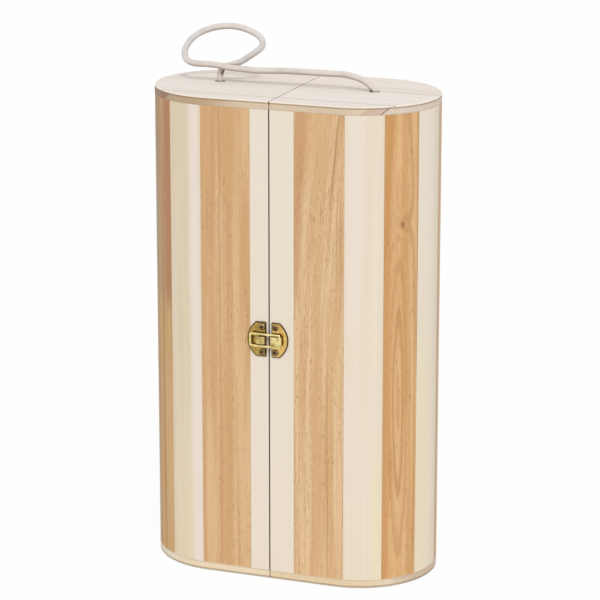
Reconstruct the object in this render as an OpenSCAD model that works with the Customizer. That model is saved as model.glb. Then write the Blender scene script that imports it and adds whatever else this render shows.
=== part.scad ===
// Wooden box for two wine bottles. It stands upright and its plan is a rectangle with
// half-round ends. It opens like a book: two halves meet at a seam down the middle of the
// front, turn on two brass hinges down the back, and close with a round brass latch.
// The walls are upright staves of light and dark wood, the end boards are strips glued edge
// to edge, and a rope handle comes out of two holes in the top, knotted underneath.
// The origin is on the floor under the middle of the box. The front faces -Y and +Z is up.
// All sizes are in millimetres.

/* [Box] */
// Overall width, left to right
box_w = 204; // [170:1:260]
// Overall depth of the wood, front to back
box_d = 110; // [90:1:150]
// Overall height without the rope
box_h = 340; // [280:1:420]
// Thickness of the staves
wall = 8; // [6:0.2:12]
// Thickness of the top boards
top_board = 5.8; // [4:0.2:10]
// Thickness of the bottom boards
bottom_board = 6; // [4:0.2:10]
// Gap between the two closed halves
seam_gap = 0.6; // [0.4:0.1:1.2]

/* [Staves] */
// Left half's light stave beside the front seam
seam_stave_left = 14; // [12:0.5:20]
// Right half's light stave beside the front seam
seam_stave_right = 18; // [12:0.5:22]
// Dark stave next to it, which turns the front corner
wide_stave = 36; // [28:0.5:46]
// Each of the next three staves round the end
narrow_stave = 27.2; // [20:0.1:34]

/* [End boards] */
// Width of the front strip of a board
front_strip = 14.5; // [8:0.5:24]
// Width of the middle strip, behind which the back strip fills the rest
middle_strip = 45; // [30:0.5:60]

/* [Bottle supports] */
// Thickness of the neck boards
neck_board = 6; // [4:0.2:10]
// Height of a neck board's underside above the bottom board
neck_height = 228; // [180:1:260]
// Width of the slot for a bottle's neck
neck_slot = 34; // [28:0.5:44]
// Distance from the seam to the middle of a bottle's neck
neck_x = 46; // [36:0.5:60]

/* [Rope handle] */
// Diameter of the rope
rope_d = 4.4; // [3:0.1:7]
// Diameter of the rope's holes
rope_hole_d = 7.6; // [6:0.1:12]
// Distance of the left hole from the seam
hole_left_x = 59; // [45:0.5:70]
// Distance of the right hole from the seam
hole_right_x = 55; // [45:0.5:70]
// Distance of both holes behind the middle of the box
hole_y = 4.4; // [-10:0.1:15]
// Diameter of the knots below the top boards
knot_d = 13; // [11:0.5:18]

/* [Hinges] */
// Length of a hinge along its pin
hinge_len = 28; // [22:0.5:40]
// Width of a hinge leaf from the middle of its pin
leaf_w = 15; // [13:0.5:20]
// Thickness of a hinge leaf
leaf_t = 1; // [0.8:0.1:1.4]
// Outer diameter of the hinge knuckles
knuckle_d = 4.4; // [4:0.1:6]
// Diameter of the hinge pins
pin_d = 2; // [1.6:0.1:2.6]
// Distance from the bottom of the box to the middle of the lower hinge
lower_hinge_z = 62; // [40:1:120]
// Distance from the top of the box to the middle of the upper hinge
upper_hinge_drop = 62; // [40:1:120]
// Distance of the hinge screws from the pin
hinge_screw_x = 9.5; // [8:0.1:11]
// Distance between a leaf's two screws
hinge_screw_pitch = 16; // [12:0.5:22]

/* [Latch] */
// Height of the latch's middle above the floor
latch_z = 174; // [120:1:220]
// Radius of the round plates
plate_r = 14.9; // [13:0.1:18]
// How far the plates' centre lies to the right of the seam
plate_shift = -0.8; // [-1:0.1:1]
// Thickness of the plates
plate_t = 0.9; // [0.7:0.1:1.2]
// Gap between the two plates
plate_gap = 4; // [3:0.1:6]
// Height of the rectangular screw lugs, end to end
lug_h = 24.6; // [23:0.1:28]
// Width across both screw lugs
lug_w = 18.4; // [16:0.1:20]
// Distance of the latch's screws from the seam
latch_screw_x = 4.9; // [4.6:0.1:6]
// Distance between a plate's two screws
latch_screw_pitch = 17.6; // [16.8:0.1:20]
// Distance of the ring's pin to the right of the seam
ring_pin_x = 8.7; // [7.2:0.1:10.5]
// How far the ring's free end lies past the tip of the hook
ring_past_hook = 4.8; // [3:0.1:6]
// Outer height of the ring
ring_h = 9.9; // [9.4:0.1:11]
// Thickness of the ring's bars, square on
ring_bar = 1.5; // [1.2:0.1:1.6]
// Diameter of the ring's pin
ring_pin_d = 1.6; // [1.4:0.1:1.8]
// Thickness of the sheet rolled into the hook and round the pin
sheet = 0.75; // [0.6:0.05:0.9]
// Height of the hook, up the box
hook_h = 5; // [4:0.1:5.6]
// Distance from the seam to the tip of the hook
hook_tip_x = 8.6; // [7:0.1:9]

/* [Fasteners] */
// Diameter of all the screws' shanks
shank_d = 1.8; // [1.4:0.1:2.2]
// Length of the screws under the head
shank_len = 6.4; // [5:0.1:7.5]
// Diameter of the latch's screw heads
latch_head_d = 4.8; // [4:0.1:5]
// Height of the latch's screw heads
latch_head_h = 1.3; // [1:0.1:1.6]
// Diameter of the hinges' screw heads
hinge_head_d = 3.8; // [3:0.1:4.4]
// Height of the hinges' screw heads
hinge_head_h = 0.7; // [0.5:0.1:0.9]
// Width of the slots across the screw heads
slot_w = 0.6; // [0.4:0.1:0.8]

/* [Fits] */
// Gap between a pin and the bore that turns on it
running_fit = 0.05; // [0.02:0.01:0.1]
// Gap between a hinge pin and the knuckles that hold it
held_fit = 0.02; // [0.01:0.01:0.04]
// Gap between knuckles along the pin
knuckle_gap = 0.3; // [0.2:0.05:0.6]
// Gap between a knuckle and the leaf beside it or the wood behind it
leaf_gap = 0.4; // [0.3:0.05:0.8]
// Gap between a shank and the hole through a plate or leaf
plate_hole_gap = 0.15; // [0.1:0.05:0.3]
// Gap between the ring's side bars and the roll between them
ring_side_gap = 0.25; // [0.2:0.05:0.4]
// Gap between a neck board and the staves round it
neck_fit = 0.2; // [0.1:0.05:0.5]

/* [Hidden] */
$fn = 72;

light_wood = "#e9dfcb";
dark_wood = "#cfa36c";
board_wood = "#e4dacb";
brass = "#caa43c";
cotton = "#e6ddd2";

half_turn_deg = 180;
half_w = box_w / 2;
end_r = box_d / 2;
// Straight part of a half's front and back, from the seam to the round end
flat_len = half_w - end_r;
arc_len = PI * end_r;
// Length of a half's outline from the front of the seam to the back of it
around = 2 * flat_len + arc_len;
stave_h = box_h - top_board - bottom_board;
top_z = box_h - top_board;
half_gap = seam_gap / 2;

// The staves that are named by width, counted from the front seam, and those after them,
// which share what is left of the outline
narrow_count = 3;
named_count = 2 + narrow_count;
even_count = 5;
last_stave = named_count + even_count - 1;
// A stave is cut from the wall by a wedge that reaches this far past both its faces
wedge_over = 6;
wedge_under = 2;
wedge_steps = 6;

knuckle_r = knuckle_d / 2;
// Height of a hinge pin's middle above the box's back
pin_lift = knuckle_r + leaf_gap;
hinge_y = end_r + pin_lift;
side_knuckle = (hinge_len - 2 * knuckle_gap) / 3;
leaf_hinge_zs = [lower_hinge_z, box_h - upper_hinge_drop];
hinge_front = leaf_gap + knuckle_r;

// Latch sizes out from the box's face, in the latch's own frame: X right, Y up the box and
// Z out from the wood
half_plate_gap = plate_gap / 2;
ring_pin_r = ring_pin_d / 2;
roll_in = ring_pin_r + running_fit;
roll_out = roll_in + sheet;
// The latch stands out as far as the hinges do
latch_out = pin_lift + knuckle_r;
ring_z = latch_out - roll_out;
ring_len = ring_pin_x + hook_tip_x + ring_past_hook;
ring_eye_d = ring_pin_d + ring_bar / 2;
ring_window = ring_h - 2 * ring_bar;
roll_h = ring_window - 2 * ring_side_gap;
hook_r = (latch_out - plate_t) / 2;
// Length of the hook's lip and of its foot on the plate
hook_lip = 1.5;
hook_foot = 2.4;
lug_round = 0.8;
// Share of a screw head's width that its slots cross
slot_share = 0.72;
// How deep a knot's middle lies below the board, as a share of its diameter
knot_seat = 0.35;

// Rope: the stretch above the top, as points from the left hole to the right one. X and Y
// are in the box's frame and Z is above the top boards.
rope_points = [
    [-59, 4.8, 5], [-57, 5.6, 9.5], [-51.5, 6.4, 11.5], [-45.5, 7, 13.5], [-40.5, 7.2, 16.5],
    [-34, 7.2, 21], [-29, 6.8, 25], [-28, 6.2, 29.5], [-31.5, 5.5, 34], [-39.5, 4.9, 37.5],
    [-47, 4.4, 39], [-54, 4, 39], [-63, 3.4, 37.5], [-72, 2.6, 34], [-79, 1.8, 29],
    [-83.5, 1.1, 22.5], [-84, 0.7, 17], [-81.5, 0.5, 13.5], [-76, 0.4, 12], [-66.5, 0.4, 12],
    [-58, 0.6, 11.5], [-51, 0.8, 10.5], [-42, 1.2, 10], [-31, 1.8, 9.5], [-20, 2.2, 10],
    [-9, 2.5, 10.5], [2, 2.8, 10.5], [13, 3.1, 10.5], [24, 3.4, 10.5], [32, 3.6, 10.5],
    [39, 3.9, 9.5], [46, 4.1, 7.5], [51.5, 4.3, 4]
];
rope_route = concat(
    [[-hole_left_x, hole_y, -top_board], [-hole_left_x, hole_y, 0]],
    rope_points,
    [[hole_right_x, hole_y, 0], [hole_right_x, hole_y, -top_board]]);
rope_sides = 10;
// Each stretch between two points is cut in this many
rope_cuts = 2;

// Point on a half's outline: s is the distance along it from the front of the seam, and
// off is how far the point lies outside the outline
function rim(s, off) =
    s <= flat_len ? [s, -end_r - off]
    : s <= flat_len + arc_len
        ? let (a = (s - flat_len) / arc_len * half_turn_deg)
            [flat_len + (end_r + off) * sin(a), -(end_r + off) * cos(a)]
    : [2 * flat_len + arc_len - s, end_r + off];

// Where stave i begins, with i one past the last for the outline's end
function stave_start(seam, i) =
    i == 0 ? half_gap
    : i == 1 ? seam
    : i <= named_count ? seam + wide_stave + (i - 2) * narrow_stave
    : let (from = stave_start(seam, named_count))
        from + (around - half_gap - from) * (i - named_count) / even_count;

// Smooth curve through the rope's points
function curve(p, q, r, s, t) =
    (2 * q + (r - p) * t + (2 * p - 5 * q + 4 * r - s) * t * t
        + (3 * q - p - 3 * r + s) * t * t * t) / 2;
function rope_at(u) =
    let (last = len(rope_route) - 1, i = min(floor(u), last - 1), t = u - i)
    i == 0 ? rope_route[0] + (rope_route[1] - rope_route[0]) * t
    : i == last - 1 ? rope_route[i] + (rope_route[last] - rope_route[i]) * t
    : curve(rope_route[i - 1], rope_route[i], rope_route[i + 1], rope_route[i + 2], t);
function unit(v) = v / norm(v);

// Outline of a half seen from above, on the right of the seam
module half_plan() {
    intersection() {
        union() {
            translate([flat_len, 0])
                circle(r = end_r);
            translate([0, -end_r])
                square([flat_len, box_d]);
        }
        translate([half_gap, -end_r])
            square([half_w, box_d]);
    }
}

// The hollow inside the staves, or a piece that lies inside it with a gap all round
module hollow_plan(gap = 0) {
    translate([flat_len, 0])
        circle(r = end_r - wall - gap);
    translate([-end_r, wall + gap - end_r])
        square([flat_len + end_r, box_d - 2 * (wall + gap)]);
}

module stave_body(seam, i) {
    from = stave_start(seam, i);
    to = stave_start(seam, i + 1);
    translate([0, 0, bottom_board])
        linear_extrude(height = stave_h)
            intersection() {
                difference() {
                    half_plan();
                    hollow_plan();
                }
                polygon(concat(
                    [for (k = [0:wedge_steps])
                        rim(from + (to - from) * k / wedge_steps, wedge_over)],
                    [for (k = [wedge_steps:-1:0])
                        rim(from + (to - from) * k / wedge_steps, -wall - wedge_under)]));
            }
}

module stave(seam, i) {
    color(i % 2 == 0 ? light_wood : dark_wood)
        difference() {
            stave_body(seam, i);
            if (i == 0)
                latch_pilots();
            if (i == last_stave)
                hinge_pilots();
        }
}

module left_stave(i) {
    mirror([1, 0, 0])
        stave(seam_stave_left, i);
}

module right_stave(i) {
    stave(seam_stave_right, i);
}

// Plan of one strip of an end board: strip 0 is the front one
module strip_plan(strip) {
    edges = [-end_r, -end_r + front_strip, -end_r + front_strip + middle_strip, end_r];
    intersection() {
        half_plan();
        translate([0, edges[strip]])
            square([half_w, edges[strip + 1] - edges[strip]]);
    }
}

module right_top(strip, hole_x = hole_right_x) {
    color(board_wood)
        translate([0, 0, top_z])
            linear_extrude(height = top_board)
                difference() {
                    strip_plan(strip);
                    translate([hole_x, hole_y])
                        circle(d = rope_hole_d);
                }
}

module left_top(strip) {
    mirror([1, 0, 0])
        right_top(strip, hole_left_x);
}

module right_bottom(strip) {
    color(board_wood)
        linear_extrude(height = bottom_board)
            strip_plan(strip);
}

module left_bottom(strip) {
    mirror([1, 0, 0])
        right_bottom(strip);
}

// Board across a half that holds a bottle's neck in a slot open to the seam
module half_neck_board() {
    color(board_wood)
        translate([0, 0, bottom_board + neck_height])
            linear_extrude(height = neck_board)
                difference() {
                    intersection() {
                        half_plan();
                        hollow_plan(neck_fit);
                    }
                    translate([neck_x, 0])
                        circle(d = neck_slot);
                    translate([-half_w, -neck_slot / 2])
                        square([half_w + neck_x, neck_slot]);
                }
}

module left_neck_board() {
    mirror([1, 0, 0])
        half_neck_board();
}

module right_neck_board() {
    half_neck_board();
}

// Hinge leaf on the right of the pin. Knuckles is [[from, to], ...] along the pin, up from
// the leaf's lower end, and fit is the gap round the pin in them.
module hinge_leaf(z, knuckles, fit) {
    color(brass)
        translate([0, 0, z - hinge_len / 2])
            difference() {
                union() {
                    translate([hinge_front, end_r, 0])
                        cube([leaf_w - hinge_front, leaf_t, hinge_len]);
                    for (k = knuckles) {
                        translate([0, hinge_y, k[0]])
                            cylinder(d = knuckle_d, h = k[1] - k[0]);
                        translate([0, end_r + leaf_gap, k[0]])
                            cube([hinge_front + leaf_t, leaf_t, k[1] - k[0]]);
                        translate([hinge_front, end_r, k[0]])
                            cube([leaf_t, leaf_t + leaf_gap, k[1] - k[0]]);
                    }
                }
                translate([0, hinge_y, -knuckle_gap])
                    cylinder(d = pin_d + 2 * fit, h = hinge_len + 2 * knuckle_gap);
                for (s = [-1, 1])
                    translate([hinge_screw_x, end_r, hinge_len / 2 + s * hinge_screw_pitch / 2])
                        rotate([-90, 0, 0])
                            cylinder(d = shank_d + 2 * plate_hole_gap, h = 2 * leaf_t);
            }
}

// The left leaf holds the pin in its two outer knuckles
module left_leaf(z) {
    mirror([1, 0, 0])
        hinge_leaf(z, [[0, side_knuckle], [hinge_len - side_knuckle, hinge_len]], held_fit);
}

module right_leaf(z) {
    from = side_knuckle + knuckle_gap;
    hinge_leaf(z, [[from, hinge_len - from]], running_fit);
}

module hinge_pin(z) {
    color(brass)
        translate([0, hinge_y, z - hinge_len / 2])
            cylinder(d = pin_d, h = hinge_len);
}

// Round-headed screw with a cross slot. Its head sits on Z = 0 and its shank runs down.
module screw(head_d, head_h) {
    round_r = (head_h * head_h + head_d * head_d / 4) / (2 * head_h);
    color(brass)
        difference() {
            union() {
                intersection() {
                    translate([0, 0, head_h - round_r])
                        sphere(r = round_r);
                    cylinder(d = head_d, h = head_h);
                }
                translate([0, 0, -shank_len])
                    cylinder(d = shank_d, h = shank_len + head_h / 2);
            }
            for (turn = [0, 90])
                rotate([0, 0, turn])
                    translate([-head_d * slot_share / 2, -slot_w / 2, head_h / 2])
                        cube([head_d * slot_share, slot_w, head_h]);
        }
}

// Places what it is given at the screws of the right half's two hinge leaves, with Z out
// from the box's back
module at_hinge_screws(out) {
    for (z = leaf_hinge_zs)
        for (s = [-1, 1])
            translate([hinge_screw_x, end_r + out, z + s * hinge_screw_pitch / 2])
                rotate([-90, 0, 0])
                    children();
}

module hinge_screws() {
    at_hinge_screws(leaf_t)
        screw(hinge_head_d, hinge_head_h);
}

module left_hinge_screws() {
    mirror([1, 0, 0])
        hinge_screws();
}

module hinge_pilots() {
    at_hinge_screws(leaf_t)
        translate([0, 0, -shank_len])
            cylinder(d = shank_d, h = shank_len);
}

// Turns the latch's frame to the box's: out of the box's front, and up
module at_latch() {
    translate([0, -end_r, latch_z])
        rotate([90, 0, 0])
            children();
}

module at_latch_screws(out) {
    at_latch()
        for (s = [-1, 1])
            translate([latch_screw_x, s * latch_screw_pitch / 2, out])
                children();
}

module latch_screws() {
    at_latch_screws(plate_t)
        screw(latch_head_d, latch_head_h);
}

module catch_screws() {
    mirror([1, 0, 0])
        latch_screws();
}

module latch_pilots() {
    at_latch_screws(plate_t)
        translate([0, 0, -shank_len])
            cylinder(d = shank_d, h = shank_len);
}

// Half-round plate with two screw lugs, on the right of the seam. The middle of the circle
// lies shift to the right of the seam.
module half_plate(shift) {
    linear_extrude(height = plate_t)
        difference() {
            intersection() {
                union() {
                    intersection() {
                        translate([shift, 0])
                            circle(r = plate_r);
                        translate([0, lug_round - lug_h / 2])
                            square([2 * plate_r, lug_h - 2 * lug_round]);
                    }
                    for (s = [-1, 1])
                        translate([shift + lug_w / 2 - lug_round, s * (lug_h / 2 - lug_round)])
                            circle(r = lug_round);
                    translate([0, -lug_h / 2])
                        square([shift + lug_w / 2 - lug_round, lug_h]);
                }
                translate([half_plate_gap, -lug_h])
                    square([2 * plate_r, 2 * lug_h]);
            }
            for (s = [-1, 1])
                translate([latch_screw_x, s * latch_screw_pitch / 2])
                    circle(d = shank_d + 2 * plate_hole_gap);
        }
}

// Left plate with the hook, a tongue folded back at the seam side and open to the left.
// Drawn on the right of the seam and mirrored.
module latch_catch() {
    color(brass)
        mirror([1, 0, 0])
            at_latch() {
                half_plate(-plate_shift);
                rotate([90, 0, 0])
                    translate([0, 0, -hook_h / 2])
                        linear_extrude(height = hook_h)
                            hook_profile();
            }
}

// The hook's section: X away from the seam and Y out from the wood
module hook_profile() {
    bend_x = half_plate_gap + hook_r - sheet / 2;
    mid = plate_t + hook_r;
    overlap = sheet / 4;
    difference() {
        translate([bend_x, mid])
            circle(r = hook_r);
        translate([bend_x, mid])
            circle(r = hook_r - sheet);
        translate([bend_x, plate_t - sheet])
            square([2 * hook_r, 2 * hook_r + 2 * sheet]);
    }
    translate([bend_x - overlap, latch_out - sheet])
        square([hook_tip_x - bend_x + overlap, sheet]);
    translate([hook_tip_x - sheet, latch_out - hook_lip])
        square([sheet, hook_lip]);
    translate([bend_x - overlap, plate_t - overlap])
        square([hook_foot, sheet + overlap]);
}

// Right plate, whose tongue stands up at the seam side and rolls round the ring's pin
module latch_plate() {
    color(brass)
        at_latch()
            difference() {
                union() {
                    half_plate(plate_shift);
                    rotate([90, 0, 0])
                        translate([0, 0, -roll_h / 2])
                            linear_extrude(height = roll_h)
                                roll_profile();
                }
                translate([ring_pin_x, 0, ring_z])
                    rotate([90, 0, 0])
                        cylinder(r = roll_in, h = ring_h, center = true);
            }
}

module roll_profile() {
    translate([ring_pin_x, ring_z])
        circle(r = roll_out);
    translate([half_plate_gap, latch_out - sheet])
        square([ring_pin_x - half_plate_gap, sheet]);
    translate([half_plate_gap, plate_t / 2])
        square([sheet, latch_out - plate_t / 2]);
}

// Ring that turns on its own pin and drops over the hook
module latch_ring() {
    free_x = ring_pin_x - ring_len;
    side_y = ring_h / 2 - ring_bar;
    color(brass)
        at_latch() {
            for (s = [-1, 1])
                translate([0, s * (side_y + ring_bar / 2), 0])
                    rotate([90, 0, 0])
                        translate([0, 0, -ring_bar / 2])
                            linear_extrude(height = ring_bar) {
                                translate([ring_pin_x, ring_z])
                                    circle(d = ring_eye_d);
                                translate([free_x, ring_z - ring_bar / 2])
                                    square([ring_len, ring_bar]);
                            }
            translate([free_x, -side_y, ring_z - ring_bar / 2])
                cube([ring_bar, 2 * side_y, ring_bar]);
            translate([ring_pin_x, 0, ring_z])
                rotate([90, 0, 0])
                    cylinder(r = ring_pin_r, h = 2 * side_y + ring_bar, center = true);
        }
}

module handle_rope() {
    steps = (len(rope_route) - 1) * rope_cuts;
    path = [for (k = [0:steps]) rope_at(k / rope_cuts)];
    rings = [for (k = [0:steps])
        let (
            ahead = unit(path[min(k + 1, steps)] - path[max(k - 1, 0)]),
            side = unit([0, 1, 0] - ahead * ahead[1]),
            up = cross(ahead, side))
        for (j = [0:rope_sides - 1])
            let (a = 2 * half_turn_deg * j / rope_sides)
            path[k] + rope_d / 2 * (cos(a) * side + sin(a) * up)];
    faces = concat(
        [[for (j = [0:rope_sides - 1]) j]],
        [for (k = [0:steps - 1], j = [0:rope_sides - 1])
            let (m = (j + 1) % rope_sides)
            each [
                [k * rope_sides + j, (k + 1) * rope_sides + j, (k + 1) * rope_sides + m],
                [k * rope_sides + j, (k + 1) * rope_sides + m, k * rope_sides + m]]],
        [[for (j = [rope_sides - 1:-1:0]) steps * rope_sides + j]]);
    color(cotton)
        translate([0, 0, box_h])
            polyhedron(points = rings, faces = faces, convexity = 8);
}

// Knot under a top board, flat where it bears on the board
module rope_knot(x) {
    color(cotton)
        intersection() {
            translate([x, hole_y, top_z - knot_d * knot_seat])
                sphere(d = knot_d);
            translate([x - knot_d, hole_y - knot_d, top_z - 2 * knot_d])
                cube([2 * knot_d, 2 * knot_d, 2 * knot_d]);
        }
}

left_stave(0);  // left_stave_01
left_stave(1);  // left_stave_02
left_stave(2);  // left_stave_03
left_stave(3);  // left_stave_04
left_stave(4);  // left_stave_05
left_stave(5);  // left_stave_06
left_stave(6);  // left_stave_07
left_stave(7);  // left_stave_08
left_stave(8);  // left_stave_09
left_stave(9);  // left_stave_10
right_stave(0);  // right_stave_01
right_stave(1);  // right_stave_02
right_stave(2);  // right_stave_03
right_stave(3);  // right_stave_04
right_stave(4);  // right_stave_05
right_stave(5);  // right_stave_06
right_stave(6);  // right_stave_07
right_stave(7);  // right_stave_08
right_stave(8);  // right_stave_09
right_stave(9);  // right_stave_10
left_top(0);  // left_top_front
left_top(1);  // left_top_middle
left_top(2);  // left_top_back
right_top(0);  // right_top_front
right_top(1);  // right_top_middle
right_top(2);  // right_top_back
left_bottom(0);  // left_bottom_front
left_bottom(1);  // left_bottom_middle
left_bottom(2);  // left_bottom_back
right_bottom(0);  // right_bottom_front
right_bottom(1);  // right_bottom_middle
right_bottom(2);  // right_bottom_back
left_neck_board();
right_neck_board();
left_leaf(leaf_hinge_zs[1]);  // upper_hinge_left_leaf
right_leaf(leaf_hinge_zs[1]);  // upper_hinge_right_leaf
hinge_pin(leaf_hinge_zs[1]);  // upper_hinge_pin
left_leaf(leaf_hinge_zs[0]);  // lower_hinge_left_leaf
right_leaf(leaf_hinge_zs[0]);  // lower_hinge_right_leaf
hinge_pin(leaf_hinge_zs[0]);  // lower_hinge_pin
left_hinge_screws();
hinge_screws();  // right_hinge_screws
latch_catch();
latch_plate();
latch_ring();
catch_screws();
latch_screws();  // plate_screws
handle_rope();
rope_knot(-hole_left_x);  // left_rope_knot
rope_knot(hole_right_x);  // right_rope_knot
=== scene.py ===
"""Looks of an upright wooden box for two wine bottles, with a brass latch and a rope handle.

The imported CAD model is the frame. Finer pieces of the same size stand for the wood, the rope,
its knots, the latch and the hinges. Lengths are in metres, and those of the cuts of the wood
and of the marks on it in millimetres.
"""

from __future__ import annotations

import logging
import math
from dataclasses import dataclass, field, replace
from enum import Enum
from typing import Any, Callable, Mapping, NamedTuple, Optional, Sequence, Union

import bpy
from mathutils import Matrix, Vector

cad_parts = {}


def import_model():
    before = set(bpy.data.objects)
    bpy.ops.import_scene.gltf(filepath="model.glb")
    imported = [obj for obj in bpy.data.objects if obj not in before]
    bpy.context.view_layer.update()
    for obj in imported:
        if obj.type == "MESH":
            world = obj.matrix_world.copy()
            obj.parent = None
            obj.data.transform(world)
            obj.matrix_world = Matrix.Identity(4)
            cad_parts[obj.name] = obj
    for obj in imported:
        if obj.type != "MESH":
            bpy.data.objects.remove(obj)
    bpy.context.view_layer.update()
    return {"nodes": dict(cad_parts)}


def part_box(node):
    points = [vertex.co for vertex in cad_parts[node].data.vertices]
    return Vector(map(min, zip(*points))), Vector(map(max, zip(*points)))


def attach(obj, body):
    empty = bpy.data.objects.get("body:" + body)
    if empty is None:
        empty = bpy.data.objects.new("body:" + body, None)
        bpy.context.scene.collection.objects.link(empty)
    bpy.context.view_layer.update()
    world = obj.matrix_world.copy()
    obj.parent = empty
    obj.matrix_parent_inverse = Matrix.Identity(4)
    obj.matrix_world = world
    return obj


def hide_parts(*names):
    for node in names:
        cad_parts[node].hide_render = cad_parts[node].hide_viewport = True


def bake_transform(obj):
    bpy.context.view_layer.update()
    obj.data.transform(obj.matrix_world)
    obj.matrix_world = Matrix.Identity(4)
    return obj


log = logging.getLogger("wine_box")

MM = 0.001
# Vectors that the meshes hold for the materials: a point's place across a board, below its face
# and along its grain; its place on a rounded edge, where a highlight is painted with rubbing,
# and whether it lies in a screw slot, where shade is painted; and its place round and along a rope
GRAIN = "grain"
SHEEN_AND_WEAR = "wear"
CORD = "cord"
Piece = bpy.types.Object
Material = bpy.types.Material
Faces = list[tuple[int, ...]]
Pair = tuple[float, float]
RGB = tuple[float, float, float]
Point = tuple[float, float, float]
Place = Callable[[float, float, float], Point]
# A point of an outline: x, y and how far its edges are rounded over
EdgePoint = tuple[float, float, float]
WHITE: RGB = (1.0, 1.0, 1.0)


class Half(Enum):
    """The two halves of the box, with the sign of x on each."""

    LEFT = -1
    RIGHT = 1

    @property
    def label(self) -> str:
        """The half's name as the nodes use it."""
        return self.name.lower()

    @property
    def body(self) -> str:
        """The moving body that the half is."""
        return f"{self.label}_half"

    def place(self, x: float, y: float, z: float) -> Point:
        """A point of the right half, on this half."""
        return self.value * x, y, z


class Slot(Enum):
    """The material slots."""

    LIGHT = "light_wood"
    DARK = "dark_wood"
    BOARD = "board_wood"
    INNER = "inner_wood"
    BRASS = "brass"
    ROPE = "rope"


def math_method(operation: str, reflected: bool = False) -> Callable[..., Signal]:
    """Makes a method that adds a Math node on a signal and, for some, one other value.

    Args:
        operation: The node's operation.
        reflected: True where the signal comes second.

    Returns:
        The method.
    """

    def method(self: Signal, *other: Value) -> Signal:
        """Adds the node."""
        return self.graph.math(operation, *((*other, self) if reflected else (self, *other)))

    return method


class Signal:
    """A number or colour that varies over a surface, on which Python's operators work."""

    __add__ = __radd__ = math_method("ADD")
    __sub__ = math_method("SUBTRACT")
    __rsub__ = math_method("SUBTRACT", reflected=True)
    __mul__ = __rmul__ = math_method("MULTIPLY")
    __truediv__ = math_method("DIVIDE")
    __rtruediv__ = math_method("DIVIDE", reflected=True)
    __abs__ = math_method("ABSOLUTE")
    root = math_method("SQRT")
    sine = math_method("SINE")
    whole = math_method("FLOOR")
    part = math_method("FRACT")
    higher = math_method("MAXIMUM")
    lower = math_method("MINIMUM")

    def __init__(self, graph: Graph, socket: bpy.types.NodeSocket) -> None:
        """Wraps a node's output, in the graph that the node is in."""
        self.graph = graph
        self.socket = socket

    def rise(self, low: float, high: float) -> Signal:
        """Smooth step from 0 at low to 1 at high, or down where low is the higher.

        Args:
            low: Where it is 0.
            high: Where it is 1.

        Returns:
            The step.
        """
        if low > high:
            return 1 - self.rise(high, low)
        ends = {"Value": self, "From Min": low, "From Max": high}
        return self.graph.signal(
            "ShaderNodeMapRange", "Result", ends, interpolation_type="SMOOTHSTEP"
        )

    def within(self, start: float, end: float, fade: float) -> Signal:
        """1 from start to end, and 0 outside them, with smooth ends."""
        return self.rise(start - fade, start + fade) * self.rise(end + fade, end - fade)


Value = Union[Signal, float]
Inputs = Mapping[Union[int, str], Any]


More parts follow.
